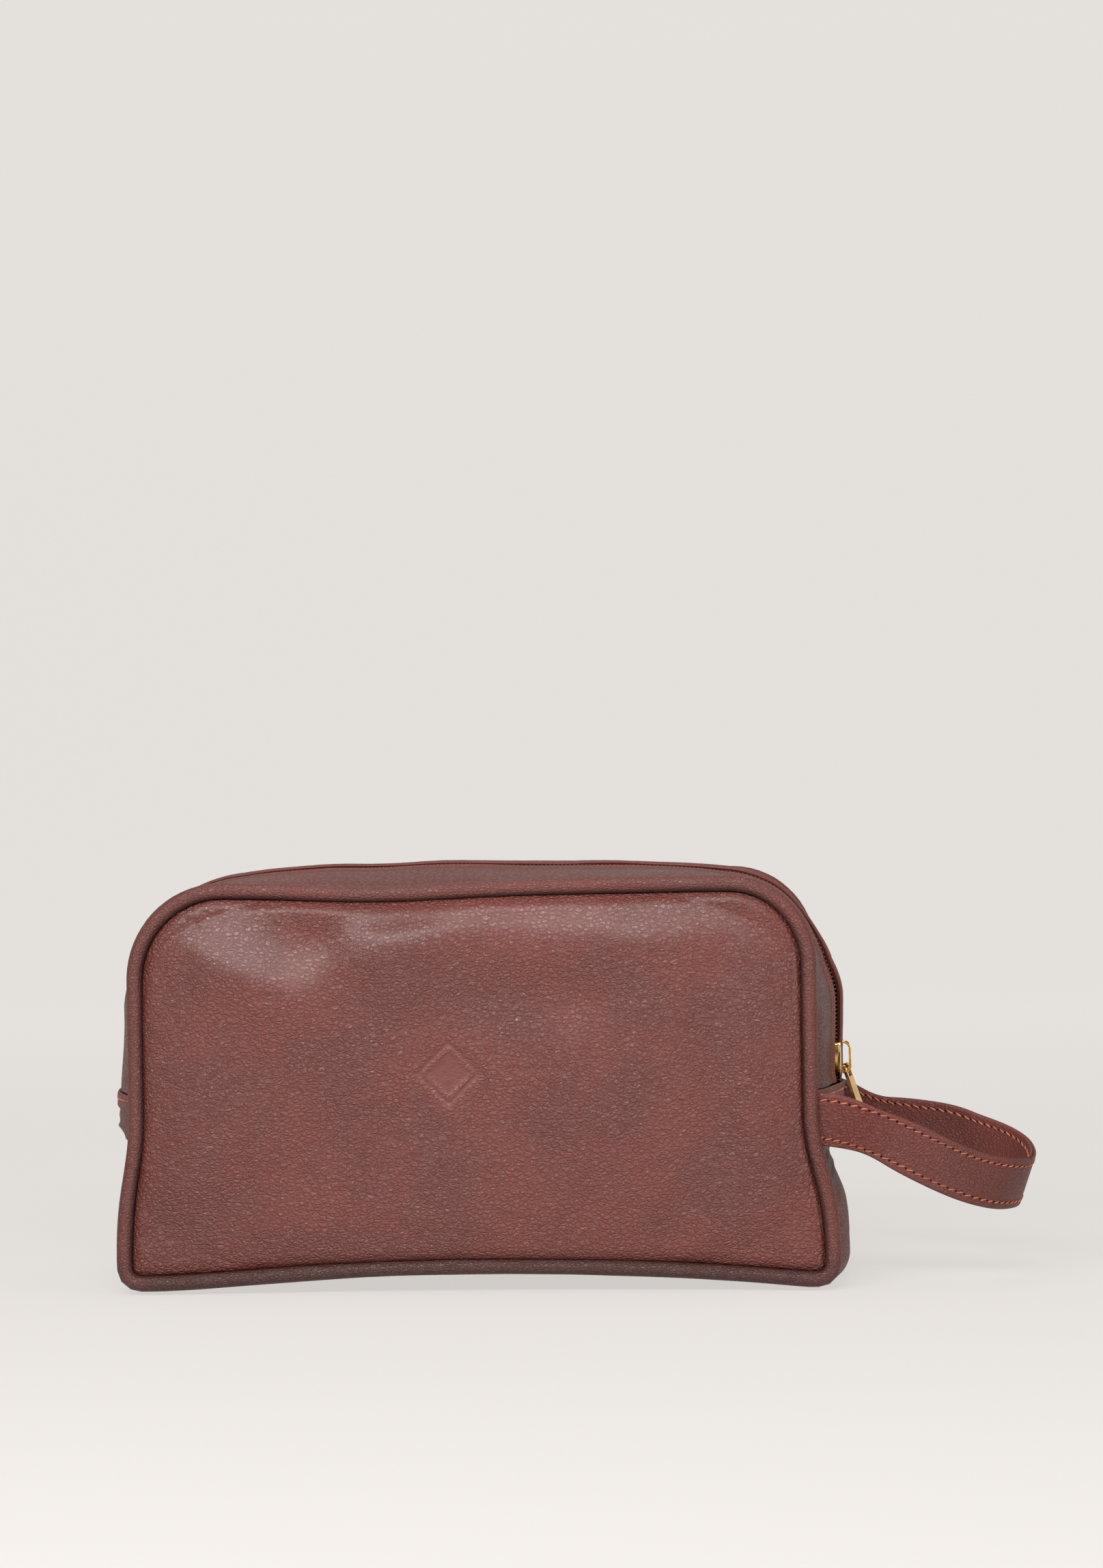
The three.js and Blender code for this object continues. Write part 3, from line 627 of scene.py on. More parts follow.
class Seam:
    """The closed line that both side seams follow, by distance from the middle of the base.

    Distances grow round the right side, over the top and down the left side.
    """

    def __init__(self):
        size = sizes()
        right, right_marks = self.half(size, size.base_half_right, size.top_radius_right, 0.88)
        left, left_marks = self.half(size, size.base_half_left, size.top_radius_left, 0.72)
        line = np.vstack([right, (left[::-1] * np.array([-1, 1]))[1:]])
        line[:, 1] += self.sway(line)
        steps = np.linalg.norm(np.diff(line, axis=0), axis=1)
        self.distance = np.concatenate([[0], np.cumsum(steps)])
        self.length = self.distance[-1]
        self.line = line
        half = self.distance[len(right) - 1]
        self.top_middle = half
        is_right = self.distance <= half
        own = np.where(is_right, self.distance, self.length - self.distance)
        tangent = np.gradient(line, self.distance, axis=0)
        tangent[0] = tangent[-1] = (1, 0)
        tangent /= np.linalg.norm(tangent, axis=1)[:, None]
        self.out = np.stack([tangent[:, 1], -tangent[:, 0]], axis=1)
        marks = {
            key: np.where(is_right, right_marks[key], left_marks[key]) for key in right_marks
        }
        x, z = line[:, 0], line[:, 1]
        floor_rise = np.minimum(z / np.maximum(np.abs(self.out[:, 1]), 0.2), BASE_DROP)
        corner = smoothstep(own, marks["base"], marks["corner"])
        waist = size.waist_height + 0.003 * ~is_right
        low = BASE_DROP + (size.base_bulge - BASE_DROP) * corner
        low += (size.waist_bulge - low) * smoothstep(z, waist - 0.020, waist - 0.003)
        side = low + (size.zip_bulge - low) * smoothstep(z, waist + 0.001, waist + 0.010)
        side -= 0.0022 * smoothstep(z, 0.070, 0.100) * ~is_right
        side -= 0.0009 * smoothstep(z, 0.062, 0.076) * is_right
        fall = smoothstep(z, 0.104, 0.134)
        upper = side + (size.corner_bulge - side) * fall
        crest = 1 - np.exp(-np.maximum(0, own - marks["shoulder"]) / 0.028)
        crown = size.top_bulge_left + (size.top_bulge_right - size.top_bulge_left) * smoothstep(
            x, -0.020, 0.020
        )
        upper += (crown - upper) * crest
        above = own > marks["side"]
        self.bulge = self.soften(np.where(own <= marks["base"], floor_rise, upper), above)
        narrow = 0.003
        rise = smoothstep(own, marks["base"], marks["rise"])
        self.flat = BASE_FLAT_HALF + (narrow - BASE_FLAT_HALF) * rise
        upright_right = smoothstep(z, 0.066, 0.078) * (1 - smoothstep(z, 0.112, 0.140)) * is_right
        self.tilt = 0.24 * upright_right + 0.08 * smoothstep(z, 0.125, 0.145)
        upright = own > marks["corner"]
        rising = upright & is_right
        falling = upright & ~is_right
        self.zip_start = float(np.interp(ZIP_END, z[rising], self.distance[rising]))
        self.zip_stop = float(np.interp(-ZIP_END, -z[falling], self.distance[falling]))

    @staticmethod
    def soften(values, where):
        """Evens out a profile over about a centimetre."""
        window = np.ones(61) / 61
        padded = np.pad(values, 30, mode="edge")
        return np.where(where, np.convolve(padded, window, mode="valid"), values)

    @staticmethod
    def half(size, base_half, radius, reach):
        """One half of the outline and the distances where its stretches end."""
        turn = np.linspace(0, math.pi / 2, 160)[:, None]
        centre = np.array([size.top_half - radius, size.seam_top - radius])
        corner = size.corner_height + size.base_radius
        stretches = [
            bezier(
                [
                    (0, size.arch_height),
                    (base_half * (reach - 0.26), size.arch_height),
                    (base_half * reach, size.corner_height),
                    (base_half - size.base_radius, size.corner_height),
                ],
                300,
            ),
            bezier(
                [
                    (base_half - size.base_radius, size.corner_height),
                    (base_half, size.corner_height),
                    (base_half, corner),
                ],
                60,
            ),
            bezier(
                [
                    (base_half, corner),
                    (base_half, size.flare_top * 0.62),
                    (size.top_half, size.flare_top * 0.70),
                    (size.top_half, size.flare_top),
                ],
                160,
            ),
            bezier([(size.top_half, size.flare_top), (size.top_half, centre[1])], 150),
            centre + radius * np.hstack([np.cos(turn), np.sin(turn)]),
            bezier([(centre[0], size.seam_top), (0, size.seam_top)], 300),
        ]
        lengths = [
            np.linalg.norm(np.diff(stretch, axis=0), axis=1).sum() for stretch in stretches
        ]
        ends = np.cumsum(lengths)
        marks = {
            "base": ends[0],
            "corner": ends[1],
            "rise": ends[2] + 0.006,
            "side": ends[3],
            "shoulder": ends[4] - radius * 0.12,
        }
        line = np.vstack([stretches[0]] + [stretch[1:] for stretch in stretches[1:]])
        return line, marks

    @staticmethod
    def sway(line):
        """The top seam sags left of its middle."""
        x, z = line[:, 0], line[:, 1]
        sag_depth, sag_middle, sag_width = 0.0021, -0.034, 0.036
        sag = -sag_depth * np.exp(-(((x - sag_middle) / sag_width) ** 2))
        return (sag + 0.0006 * smoothstep(x, 0.02, 0.09)) * smoothstep(z, 0.125, 0.146)

    def at(self, distance, values):
        wrapped = np.mod(distance, self.length)
        return np.interp(wrapped, self.distance, values)

    def place(self, distance):
        return self.at(distance, self.line[:, 0]), self.at(distance, self.line[:, 1])

    def outward(self, distance):
        return self.at(distance, self.out[:, 0]), self.at(distance, self.out[:, 1])

    def gusset(self, distance, y, lift=0.0):
        """Points of the gusset's outer surface, lifted along its outward direction."""
        distance = np.asarray(distance, dtype=float)
        y = np.asarray(y, dtype=float)
        x, z = self.place(distance)
        out_x, out_z = self.outward(distance)
        flat = self.at(distance, self.flat)
        past = np.maximum(0, np.abs(y) - flat) / (GUSSET_HALF - flat)
        out = self.at(distance, self.bulge) * (1 - past * past) + lift
        out += self.at(distance, self.tilt) * y * np.exp(-((y / 0.022) ** 2))
        return np.stack([x + out_x * out, y + 0 * x, z + out_z * out], axis=1)


# ---------- side panels ----------


def coons(bottom, top, left, right, u, v):
    """A patch between four boundary lines, each given as a function of a share."""
    corner = [bottom(np.array([share]))[0] for share in (0.0, 1.0)]
    upper = [top(np.array([share]))[0] for share in (0.0, 1.0)]
    u = u[:, None]
    v = v[:, None]
    ruled = (1 - v) * bottom(u[:, 0]) + v * top(u[:, 0])
    sided = (1 - u) * left(v[:, 0]) + u * right(v[:, 0])
    blend = (1 - u) * (1 - v) * corner[0] + u * (1 - v) * corner[1]
    return ruled + sided - blend - (1 - u) * v * upper[0] - u * v * upper[1]


def panel_outline(seam, inset):
    """The four sides of a panel's edge, split at the middles of its corners."""
    size = sizes()
    halves = (
        (seam.distance < seam.top_middle, size.base_half_right),
        (seam.distance > seam.top_middle, size.base_half_left),
    )
    feet = []
    shoulders = []
    for own_half, base_half in halves:
        distance = seam.distance[own_half]
        x, z = np.abs(seam.line[own_half, 0]), seam.line[own_half, 1]
        foot = np.hypot(x - base_half, z - size.corner_height)
        feet.append(float(distance[foot.argmin()]))
        shoulder = np.hypot(x - size.top_half, z - size.seam_top)
        shoulders.append(float(distance[shoulder.argmin()]))
    first, fourth = feet
    second, third = shoulders

    def side(start, end):
        def points(share):
            distance = start + (end - start) * share
            x, z = seam.place(distance)
            out_x, out_z = seam.outward(distance)
            return np.stack([x - out_x * inset, z - out_z * inset], axis=1)

        return points

    bottom = side(fourth - seam.length, first)
    right = side(first, second)
    top = side(third, second)
    left = side(fourth, third)
    return bottom, top, left, right


# Soft mounds and hollows of the front panel: middle x and z, half width, half height, tilt, rise.
FRONT_SWELLS = (
    (-0.084, 0.116, 0.030, 0.011, -0.55, 0.0026),
    (-0.058, 0.130, 0.012, 0.013, 0.30, -0.0020),
    (-0.028, 0.127, 0.026, 0.011, 0.35, 0.0026),
    (-0.024, 0.112, 0.016, 0.008, 0.70, 0.0014),
    (0.022, 0.108, 0.034, 0.012, 0.10, -0.0016),
    (0.062, 0.128, 0.044, 0.010, 0.00, 0.0014),
    (-0.100, 0.070, 0.014, 0.036, 0.00, 0.0010),
    (-0.050, 0.060, 0.040, 0.020, 0.40, -0.0012),
    (0.050, 0.070, 0.030, 0.028, -0.60, 0.0009),
    (0.090, 0.084, 0.010, 0.034, 0.15, -0.0015),
    (0.103, 0.062, 0.009, 0.034, 0.20, 0.0017),
    (-0.086, 0.036, 0.030, 0.010, 0.50, -0.0012),
    (0.080, 0.034, 0.010, 0.026, -0.50, -0.0014),
)


def swell(x, z):
    """How far the mounds and hollows push the leather out."""
    total = np.zeros_like(x)
    for middle_x, middle_z, half_x, half_z, tilt, rise in FRONT_SWELLS:
        across = (x - middle_x) * math.cos(tilt) + (z - middle_z) * math.sin(tilt)
        up = (z - middle_z) * math.cos(tilt) - (x - middle_x) * math.sin(tilt)
        total += rise * np.exp(-((across / half_x) ** 2) - (up / half_z) ** 2)
    return total


def lozenge(x, z):
    """The pressed mark: a lozenge with a narrow raised line inside its edge."""
    middle_x, middle_z = -0.008, 0.081
    reach = (np.abs(x - middle_x) + np.abs(z - middle_z)) / sizes().mark_half
    field = 1 - smoothstep(reach, 0.95, 1.05)
    line = smoothstep(reach, 0.66, 0.71) * (1 - smoothstep(reach, 0.76, 0.81))
    return field * (1 - 0.9 * line)


def make_panel(seam, place, side):
    """One puffed side panel, tucked behind its piping."""
    size = sizes()
    piece, u, v = add_grid(f"{place}_panel_leather", 288, 166)
    bottom, top, left, right = panel_outline(seam, PANEL_INSET)
    eased_u = 0.5 - 0.5 * np.cos(math.pi * u) * 0.35 + (u - 0.5) * 0.65
    eased_v = 0.5 - 0.5 * np.cos(math.pi * v) * 0.35 + (v - 0.5) * 0.65
    flat = coons(bottom, top, left, right, eased_u, eased_v)
    x, z = flat[:, 0], flat[:, 1]

    share = np.linspace(0, 1, 300)
    rim = np.vstack([line(share) for line in (bottom, right, top, left)])
    edge = np.full(len(x), 1.0)
    for start in range(0, len(x), 8000):
        part = slice(start, start + 8000)
        gaps = (x[part, None] - rim[None, :, 0]) ** 2 + (z[part, None] - rim[None, :, 1]) ** 2
        edge[part] = np.sqrt(gaps.min(axis=1))

    middle_z = (size.seam_top + size.corner_height) / 2
    half_z = (size.seam_top - size.corner_height) / 2
    roundness = 3.2
    sum_share = np.abs(x / 0.1295) ** roundness + np.abs((z - middle_z) / half_z) ** roundness
    dome = size.panel_puff * np.maximum(0, 1 - sum_share ** (4.2 / roundness))
    rising = np.clip((edge - 0.0012) / 0.0058, 0, 1)
    roll = 0.0040 * np.sqrt(1 - (1 - rising) ** 2)
    flat_points = np.stack([x, np.full_like(x, side * 0.05), z], axis=1)
    soft = rumple(flat_points, 26, 3.1 + side) * 0.0007 + rumple(flat_points, 60, 8.4 + side) * 0.00025
    near_edge = np.exp(-edge / 0.012)
    angle = np.arctan2(z - middle_z, x * 0.55)
    pucker = np.sin(angle * 150 + rumple(flat_points, 40, 1.3) * 5) * rumple(flat_points, 70, 5.5)
    wrinkle = pucker * near_edge * 0.00022 * smoothstep(edge, 0.0015, 0.004)
    swells = swell(x if side == FRONT else -x, z) * (1.0 if side == FRONT else 0.7)
    inner = smoothstep(edge, 0.002, 0.014)
    out = -0.0020 + roll + dome + (soft + swells) * inner + wrinkle
    pressed = lozenge(x, z) if side == FRONT else np.zeros_like(x)
    out -= pressed * 0.00045
    lay(piece, np.stack([x, side * (GUSSET_HALF + 0.0025 + out), z], axis=1))
    paint_attribute(piece, "pressed", pressed)
    paint_attribute(piece, "worked", np.exp(-edge / 0.006) * 0.5)
    # Painted shade: the panel's rim is darkened where it tucks into the groove behind the piping.
    paint_attribute(piece, "soiled", 1 - smoothstep(edge, 0.0012, 0.0032))
    face_panel(piece, side)
    apply_modifier(piece, "SOLIDIFY", thickness=size.leather, offset=-1)
    settle(piece, "panel", replaces=[f"{place}_panel"])


def face_panel(piece, side):
    """Turns an open sheet so that its faces look away from the bag's middle."""
    piece.data.update()
    facing = sum(polygon.normal.y for polygon in list(piece.data.polygons)[::97])
    if facing * side < 0:
        piece.data.flip_normals()


# ---------- piping ----------


def seam_ring(seam, name, along, around):
    """A ring to wrap round the seam, with each point's distance along it and turn about it."""
    start_clean()
    bpy.ops.mesh.primitive_torus_add(
        major_segments=along, minor_segments=around, major_radius=1, minor_radius=0.25
    )
    piece = adopt(name)
    ring = points_of(piece)
    share = np.arctan2(ring[:, 1], ring[:, 0]) / (2 * math.pi)
    distance = np.mod(share, 1) * seam.length
    turn = np.arctan2(ring[:, 2], np.hypot(ring[:, 0], ring[:, 1]) - 1)
    return piece, distance, turn


def wrap_seam(piece, seam, side, distance, turn, radius):
    """Lay a ring round the seam line at the given radii."""
    x, z = seam.place(distance)
    out_x, out_z = seam.outward(distance)
    out = radius * np.cos(turn)
    depth = PIPING_DEPTH + radius * np.sin(turn)
    lay(piece, np.stack([x + out_x * out, side * depth, z + out_z * out], axis=1))


def make_piping(seam, place, side):
    """The leather-covered cord round one seam."""
    size = sizes()
    piece, distance, turn = seam_ring(seam, f"{place}_piping_leather", 900, 20)
    x, z = seam.place(distance)
    line = np.stack([x, np.full_like(x, side * 0.048), z], axis=1)
    lumps = rumple(line, 55, 2.2 * side) * 0.045
    waist_height, waist_spread = 0.046, 0.011
    corner_x, corner_z, corner_spread = 0.113, 0.138, 0.022
    crease_pitch = 0.00135
    tight = np.exp(-(((z - waist_height) / waist_spread) ** 2)) * (x > 0)
    corner = np.exp(-(((np.hypot(np.abs(x) - corner_x, z - corner_z)) / corner_spread) ** 2))
    phase = distance / crease_pitch + rumple(line, 160, 4.0) * 3
    creases = np.sin(phase) * rumple(line, 120, 9.0)
    radius = size.piping_radius * (1 + lumps + creases * (0.10 * tight + 0.035 * corner + 0.012))
    wrap_seam(piece, seam, side, distance, turn, radius)
    paint_attribute(piece, "worked", 0.25 + 0.75 * tight)
    # Painted shade: the piping is darkened along the base seam near the floor, less at the corners, and
    # on its inner side in the groove against the panel.
    low = (1 - smoothstep(z, 0.008, 0.016)) * (1 - 0.5 * smoothstep(np.abs(x), 0.115, 0.128))
    groove_shade = smoothstep(-np.cos(turn), 0.30, 0.85)
    paint_attribute(piece, "soiled", np.maximum(low, groove_shade))
    face_out(piece)
    settle(piece, "piping", replaces=[f"{place}_piping"], angle=60)


def make_piping_filler(seam, place, side):
    """The cotton cord inside the piping."""
    piece, distance, turn = seam_ring(seam, f"{place}_piping_filler", 360, 12)
    strands, strand_depth, twist, fill = 3, 0.06, 0.0016, 0.56
    strand = 1 + strand_depth * np.cos(strands * turn + distance / twist)
    radius = sizes().piping_radius * fill * strand
    wrap_seam(piece, seam, side, distance, turn, radius)
    face_out(piece)
    settle(piece, "cotton", replaces=[f"{place}_piping_cord"], angle=80)


# ---------- gusset ----------


def gusset_lift(seam, distance, y):
    """Small folds of the gusset leather: gathered beside the piping, and soft waves elsewhere."""
    points = seam.gusset(distance, y)
    beside = np.exp(-np.maximum(0, GUSSET_HALF - np.abs(y)) / 0.012)
    ridges = 1 - 2 * np.abs(rumple(points * np.array([1.0, 0.40, 1.0]), 150, 6.1))
    gather = (ridges - 0.5) * 0.00085
    waves = rumple(points, 42, 2.7) * 0.00060
    low = smoothstep(points[:, 2], 0.034, 0.046) * (1 - smoothstep(points[:, 2], 0.062, 0.070))
    bunch = (0.5 - np.abs(rumple(points * np.array([1.0, 0.30, 1.6]), 95, 3.3))) * 0.0020
    return gather * beside + waves * (1 - beside) + bunch * low


def strip_surface(seam):
    """The zip strips' outer surface: the leather is folded double along the zip."""

    def surface(distance, y):
        depth = np.abs(y)
        fold = 0.0005 * (1 - smoothstep(depth, 0.0115, 0.0135))
        roll = 0.0010 * (1 - np.sqrt(np.clip((depth - ZIP_OPENING + 0.0001) / 0.0014, 0, 1)))
        channel = 0.00032 * sum(
            np.exp(-(((depth - row) / 0.0007) ** 2)) for row in ZIP_STITCH_ROWS
        )
        return seam.gusset(distance, y, fold - roll - channel + gusset_lift(seam, distance, y))

    return surface


def make_zip_strip(seam, place, side):
    """The leather between one seam and the zip."""
    size = sizes()
    piece, u, v = add_grid(f"zip_strip_{place}_leather", 620, 44)
    gap = 0.0003
    distance = seam.zip_start + gap + (seam.zip_stop - seam.zip_start - 2 * gap) * u
    edge = GUSSET_HALF + 0.0010
    depth = ZIP_OPENING + (edge - ZIP_OPENING) * v ** 1.25
    lay(piece, strip_surface(seam)(distance, side * depth))
    paint_attribute(piece, "worked", np.exp(-(edge - depth) / 0.010))
    paint_attribute(piece, "pressed", 1 - smoothstep(depth, 0.011, 0.017))
    orient_band(piece)
    apply_modifier(piece, "SOLIDIFY", thickness=size.leather, offset=-1)
    settle(piece, "gusset", replaces=[f"zip_strip_{place}"])


def orient_band(piece):
    """Turns an open band so that its faces look away from the bag's middle."""
    piece.data.update()
    middle = Vector((0, 0, 0.075))
    facing = sum(
        polygon.normal.dot(polygon.center - middle) for polygon in list(piece.data.polygons)[::53]
    )
    if facing < 0:
        piece.data.flip_normals()


def gusset_surface(seam):
    """The base gusset's outer surface, with its two ends folded over below the zip."""

    def surface(distance, y):
        from_end = np.minimum(distance - (seam.zip_stop - seam.length), seam.zip_start - distance)
        fold = 0.0013 * (1 - smoothstep(from_end, FOLD_HEIGHT - 0.0012, FOLD_HEIGHT + 0.0010))
        roll = 0.0010 * (1 - np.sqrt(np.clip(from_end / 0.0016, 0, 1)))
        channel = 0.00025 * np.exp(-(((from_end - FOLD_STITCH) / 0.0006) ** 2))
        curl = 0.0013 * np.exp(-from_end / 0.0030) * np.exp(-((np.abs(y) / 0.020) ** 2))
        _, z = seam.place(distance)
        base = smoothstep(z, 0.011, 0.018)
        folds = gusset_lift(seam, distance, y) * base
        lift = (fold - roll - channel + curl) * base + folds
        return seam.gusset(distance, y, lift)

    return surface


def make_base_gusset(seam):
    """The band that forms the lower sides and the base."""
    size = sizes()
    piece, u, v = add_grid("base_gusset_leather", 560, 84)
    start = seam.zip_stop - seam.length
    distance = start + (seam.zip_start - start) * u
    edge = GUSSET_HALF + 0.0010
    y = edge * np.sin((v - 0.5) * math.pi) * 0.25 + edge * (2 * v - 1) * 0.75
    lay(piece, gusset_surface(seam)(distance, y))
    from_end = np.minimum(distance - start, seam.zip_start - distance)
    paint_attribute(piece, "worked", np.exp(-(edge - np.abs(y)) / 0.010))
    paint_attribute(piece, "pressed", 0.6 * (1 - smoothstep(from_end, 0.004, FOLD_HEIGHT)))
    orient_band(piece)
    apply_modifier(piece, "SOLIDIFY", thickness=size.leather, offset=-1)
    settle(piece, "gusset", replaces=["base_gusset"])


# ---------- lining and board ----------


def make_side_lining(seam, place, side):
    """The cloth behind one side panel."""
    size = sizes()
    piece, u, v = add_grid(f"lining_{place}_cloth", 90, 54)
    bottom, top, left, right = panel_outline(seam, LINING_INSET)
    flat = coons(bottom, top, left, right, u, v)
    x, z = flat[:, 0], flat[:, 1]
    rim = np.minimum(np.minimum(u, 1 - u) * 0.25, np.minimum(v, 1 - v) * 0.14)
    puff = size.panel_puff * 0.7 * smoothstep(rim, 0.002, 0.034)
    lay(piece, np.stack([x, side * (GUSSET_HALF - 0.0020 + puff), z], axis=1))
    face_panel(piece, side)
    apply_modifier(piece, "SOLIDIFY", thickness=CLOTH, offset=-1)
    settle(piece, "lining", replaces=[f"lining_{place}"])


def make_band_lining(seam, name, start, stop, low, high, node):
    """The cloth behind one band of the gusset."""
    piece, u, v = add_grid(name, 240, 24)
    distance = start + (stop - start) * u
    y = low + (high - low) * v
    under = sizes().leather + LINING_GAP
    x, z = seam.place(distance)
    over_board = smoothstep(0.104 - np.abs(x), 0, 0.006) * (z < 0.030)
    over_board = over_board * (1 - smoothstep(np.abs(y), 0.0300, 0.0340))
    lay(piece, seam.gusset(distance, y, -under - 0.0012 * over_board))
    orient_band(piece)
    apply_modifier(piece, "SOLIDIFY", thickness=CLOTH, offset=-1)
    settle(piece, "lining", replaces=[node])


def make_board(seam):
    """The fibre board that stiffens the base, bowed with it."""
    piece, u, v = add_grid("base_board_fibre", 120, 20)
    reach = (board_high.x - board_low.x) / 2
    x = (2 * u - 1) * reach
    y = (2 * v - 1) * (board_high.y - board_low.y) / 2 * 0.92
    rising = seam.distance < seam.top_middle / 2
    right = np.interp(np.abs(x), seam.line[rising, 0], seam.distance[rising])
    distance = np.where(x >= 0, right, seam.length - right)
    lay(piece, seam.gusset(distance, y, -sizes().leather - 0.0002))
    orient_band(piece)
    apply_modifier(piece, "SOLIDIFY", thickness=board_high.z - board_low.z, offset=-1)
    settle(piece, "board", replaces=["base_board"])


def make_linings(seam):
    """All the cloth walls inside the bag."""
    for place, side in SIDES:
        make_side_lining(seam, place, side)
        near, far = sorted((side * (ZIP_OPENING + 0.0045), side * (GUSSET_HALF - LINING_GAP)))
        make_band_lining(
            seam,
            f"lining_zip_{place}_cloth",
            seam.zip_start,
            seam.zip_stop,
            near,
            far,
            f"lining_zip_{place}",
        )
    reach = GUSSET_HALF - LINING_GAP
    start = seam.zip_stop - seam.length
    make_band_lining(
        seam, "lining_gusset_cloth", start, seam.zip_start, -reach, reach, "lining_gusset"
    )


# ---------- zip ----------


def make_tapes(seam):
    """The two woven tapes under the coils."""
    for place, side in SIDES:
        piece, u, v = add_grid(f"zip_tape_{place}_cloth", 420, 6)
        distance = seam.zip_start + 0.0003 + (seam.zip_stop - seam.zip_start - 0.0006) * u
        y = side * (0.0007 + TAPE_WIDTH * v)
        lay(piece, seam.gusset(distance, y, -TAPE_DEPTH))
        orient_band(piece)
        apply_modifier(piece, "SOLIDIFY", thickness=0.0006, offset=-1)
        settle(piece, "tape", replaces=[f"zip_tape_{place}"])


def make_tooth():
    """One turn of the nylon coil: a rounded bar with a broader head."""
    start_clean()
    bpy.ops.mesh.primitive_uv_sphere_add(segments=8, ring_count=7, radius=1)
    tooth = adopt("tooth")
    unit = points_of(tooth)
    reach = unit[:, 2].copy()
    width = 0.00042 * (1 + 0.35 * smoothstep(-reach, 0.35, 0.8))
    flat = np.sign(reach) * np.abs(reach) ** 0.55
    ring = np.stack([unit[:, 0] * width, 0.00165 * flat + 0.00130, unit[:, 1] * 0.00075], axis=1)
    lay(tooth, ring)
    return tooth


def make_coils(seam):
    """Both rows of teeth, hooked into each other along the middle of the zip."""
    size = sizes()
    run = seam.zip_stop - seam.zip_start - 0.001
    count = int(run / size.tooth_pitch)
    for place, side in SIDES:
        offset = 0.0 if side == FRONT else size.tooth_pitch / 2
        distance = seam.zip_start + 0.0006 + offset + np.arange(count - 1) * run / count
        middle = np.zeros_like(distance)
        matrices = frames_on(
            lambda along, across: seam.gusset(along, across, -COIL_DEPTH), distance, middle
        )
        matrices[:, :3, 1] *= side * np.sign(matrices[:, 1, 1])[:, None]
        if side == FRONT:
            matrices[:, :3, 0] *= -1
        piece = scatter(f"zip_coil_{place}_teeth", make_tooth(), matrices)
        face_out(piece)
        settle(piece, "coil", replaces=[f"zip_coil_{place}"], angle=60)


# ---------- stitches ----------


def make_stitch(pitch, thickness, slant=0.0):
    """One sewn stitch: a short fat thread whose ends dive into the leather."""
    start_clean()
    bpy.ops.mesh.primitive_uv_sphere_add(segments=8, ring_count=8, radius=1)
    stitch = adopt("stitch")
    unit = points_of(stitch)
    reach = unit[:, 2]
    long = pitch * 0.43
    full = np.clip(1 - np.abs(reach) ** 3, 0, 1) ** 0.5
    ring_size = np.maximum(np.hypot(unit[:, 0], unit[:, 1]), 1e-6)
    girth = thickness / 2 * full
    x = long * reach
    y = unit[:, 0] / ring_size * girth * (ring_size > 0.01) + slant * reach * pitch * 0.12
    z = unit[:, 1] / ring_size * girth * (ring_size > 0.01) - thickness * 0.55 * reach ** 2
    lay(stitch, np.stack([x, y, z], axis=1))
    return stitch


def make_hole(size_of_hole):
    """A shallow pit between two stitches, coloured dark as painted shade."""
    start_clean()
    bpy.ops.mesh.primitive_uv_sphere_add(segments=8, ring_count=4, radius=1)
    hole = adopt("hole")
    lay(hole, points_of(hole) * np.array([size_of_hole, size_of_hole * 0.85, size_of_hole * 0.22]))
    return hole


def row_places(start, stop, pitch, inset):
    """Middles of the stitches in a row, and of the needle holes between them."""
    count = int((stop - start - 2 * inset) / pitch)
    middles = start + inset + (np.arange(count) + 0.5) * (stop - start - 2 * inset) / count
    holes = start + inset + np.arange(count + 1) * (stop - start - 2 * inset) / count
    return middles, holes


def make_zip_stitching(seam):
    """Two rows of topstitching on each zip strip, and one row on each folded gusset end."""
    size = sizes()
    surface = strip_surface(seam)
    for place, side in SIDES:
        frames = []
        pits = []
        for row in ZIP_STITCH_ROWS:
            middles, holes = row_places(seam.zip_start, seam.zip_stop, size.stitch_pitch, 0.0012)
            across = np.full_like(middles, side * row)
            frames.append(frames_on(surface, middles, across, 0.00030))
            pits.append(frames_on(surface, holes, np.full_like(holes, side * row), HOLE_SINK))
        stitches = scatter(
            f"zip_stitching_{place}", make_stitch(size.stitch_pitch, 0.00072, 0.6), np.vstack(frames)
        )
        settle(stitches, "thread", angle=80)
        holes = scatter(f"zip_needle_holes_{place}", make_hole(0.00034), np.vstack(pits))
        settle(holes, "hole", angle=80)
    fold_surface = gusset_surface(seam)
    ends = (
        ("right", seam.zip_start - FOLD_STITCH),
        ("left", seam.zip_stop - seam.length + FOLD_STITCH),
    )
    for place, distance in ends:
        middles, holes = row_places(-GUSSET_HALF, GUSSET_HALF, FOLD_PITCH, 0.002)

        def across_surface(along, across, distance=distance):
            return fold_surface(distance + across, along)

        rows = frames_on(across_surface, middles, np.zeros_like(middles), STITCH_LIFT)
        pits = frames_on(across_surface, holes, np.zeros_like(holes), HOLE_SINK)
        turn_out(rows)
        turn_out(pits)
        stitches = scatter(f"fold_stitching_{place}", make_stitch(FOLD_PITCH, 0.0006, 0.5), rows)
        settle(stitches, "thread", angle=80)
        marks = scatter(f"fold_needle_holes_{place}", make_hole(0.00040), pits)
        settle(marks, "hole", angle=80)


def turn_out(matrices):
    """Turns places whose z points into the bag."""
    inward = matrices[:, 0, 2] * matrices[:, 0, 3] < 0
    for axis in (1, 2):
        matrices[inward, :3, axis] *= -1


# ---------- slider and puller ----------


def add_block(name, low, high):
    """A box between two corners, with its place in its mesh."""
    start_clean()
    bpy.ops.mesh.primitive_cube_add(size=1)
    piece = adopt(name)
    low, high = np.array(low), np.array(high)
    lay(piece, (low + high) / 2 + points_of(piece) * (high - low))
    return piece


def join(pieces, name):
    """Joins pieces into the first one."""
    start_clean()
    for piece in pieces:
        piece.select_set(True)
    bpy.context.view_layer.objects.active = pieces[0]
    bpy.ops.object.join()
    return adopt(name)


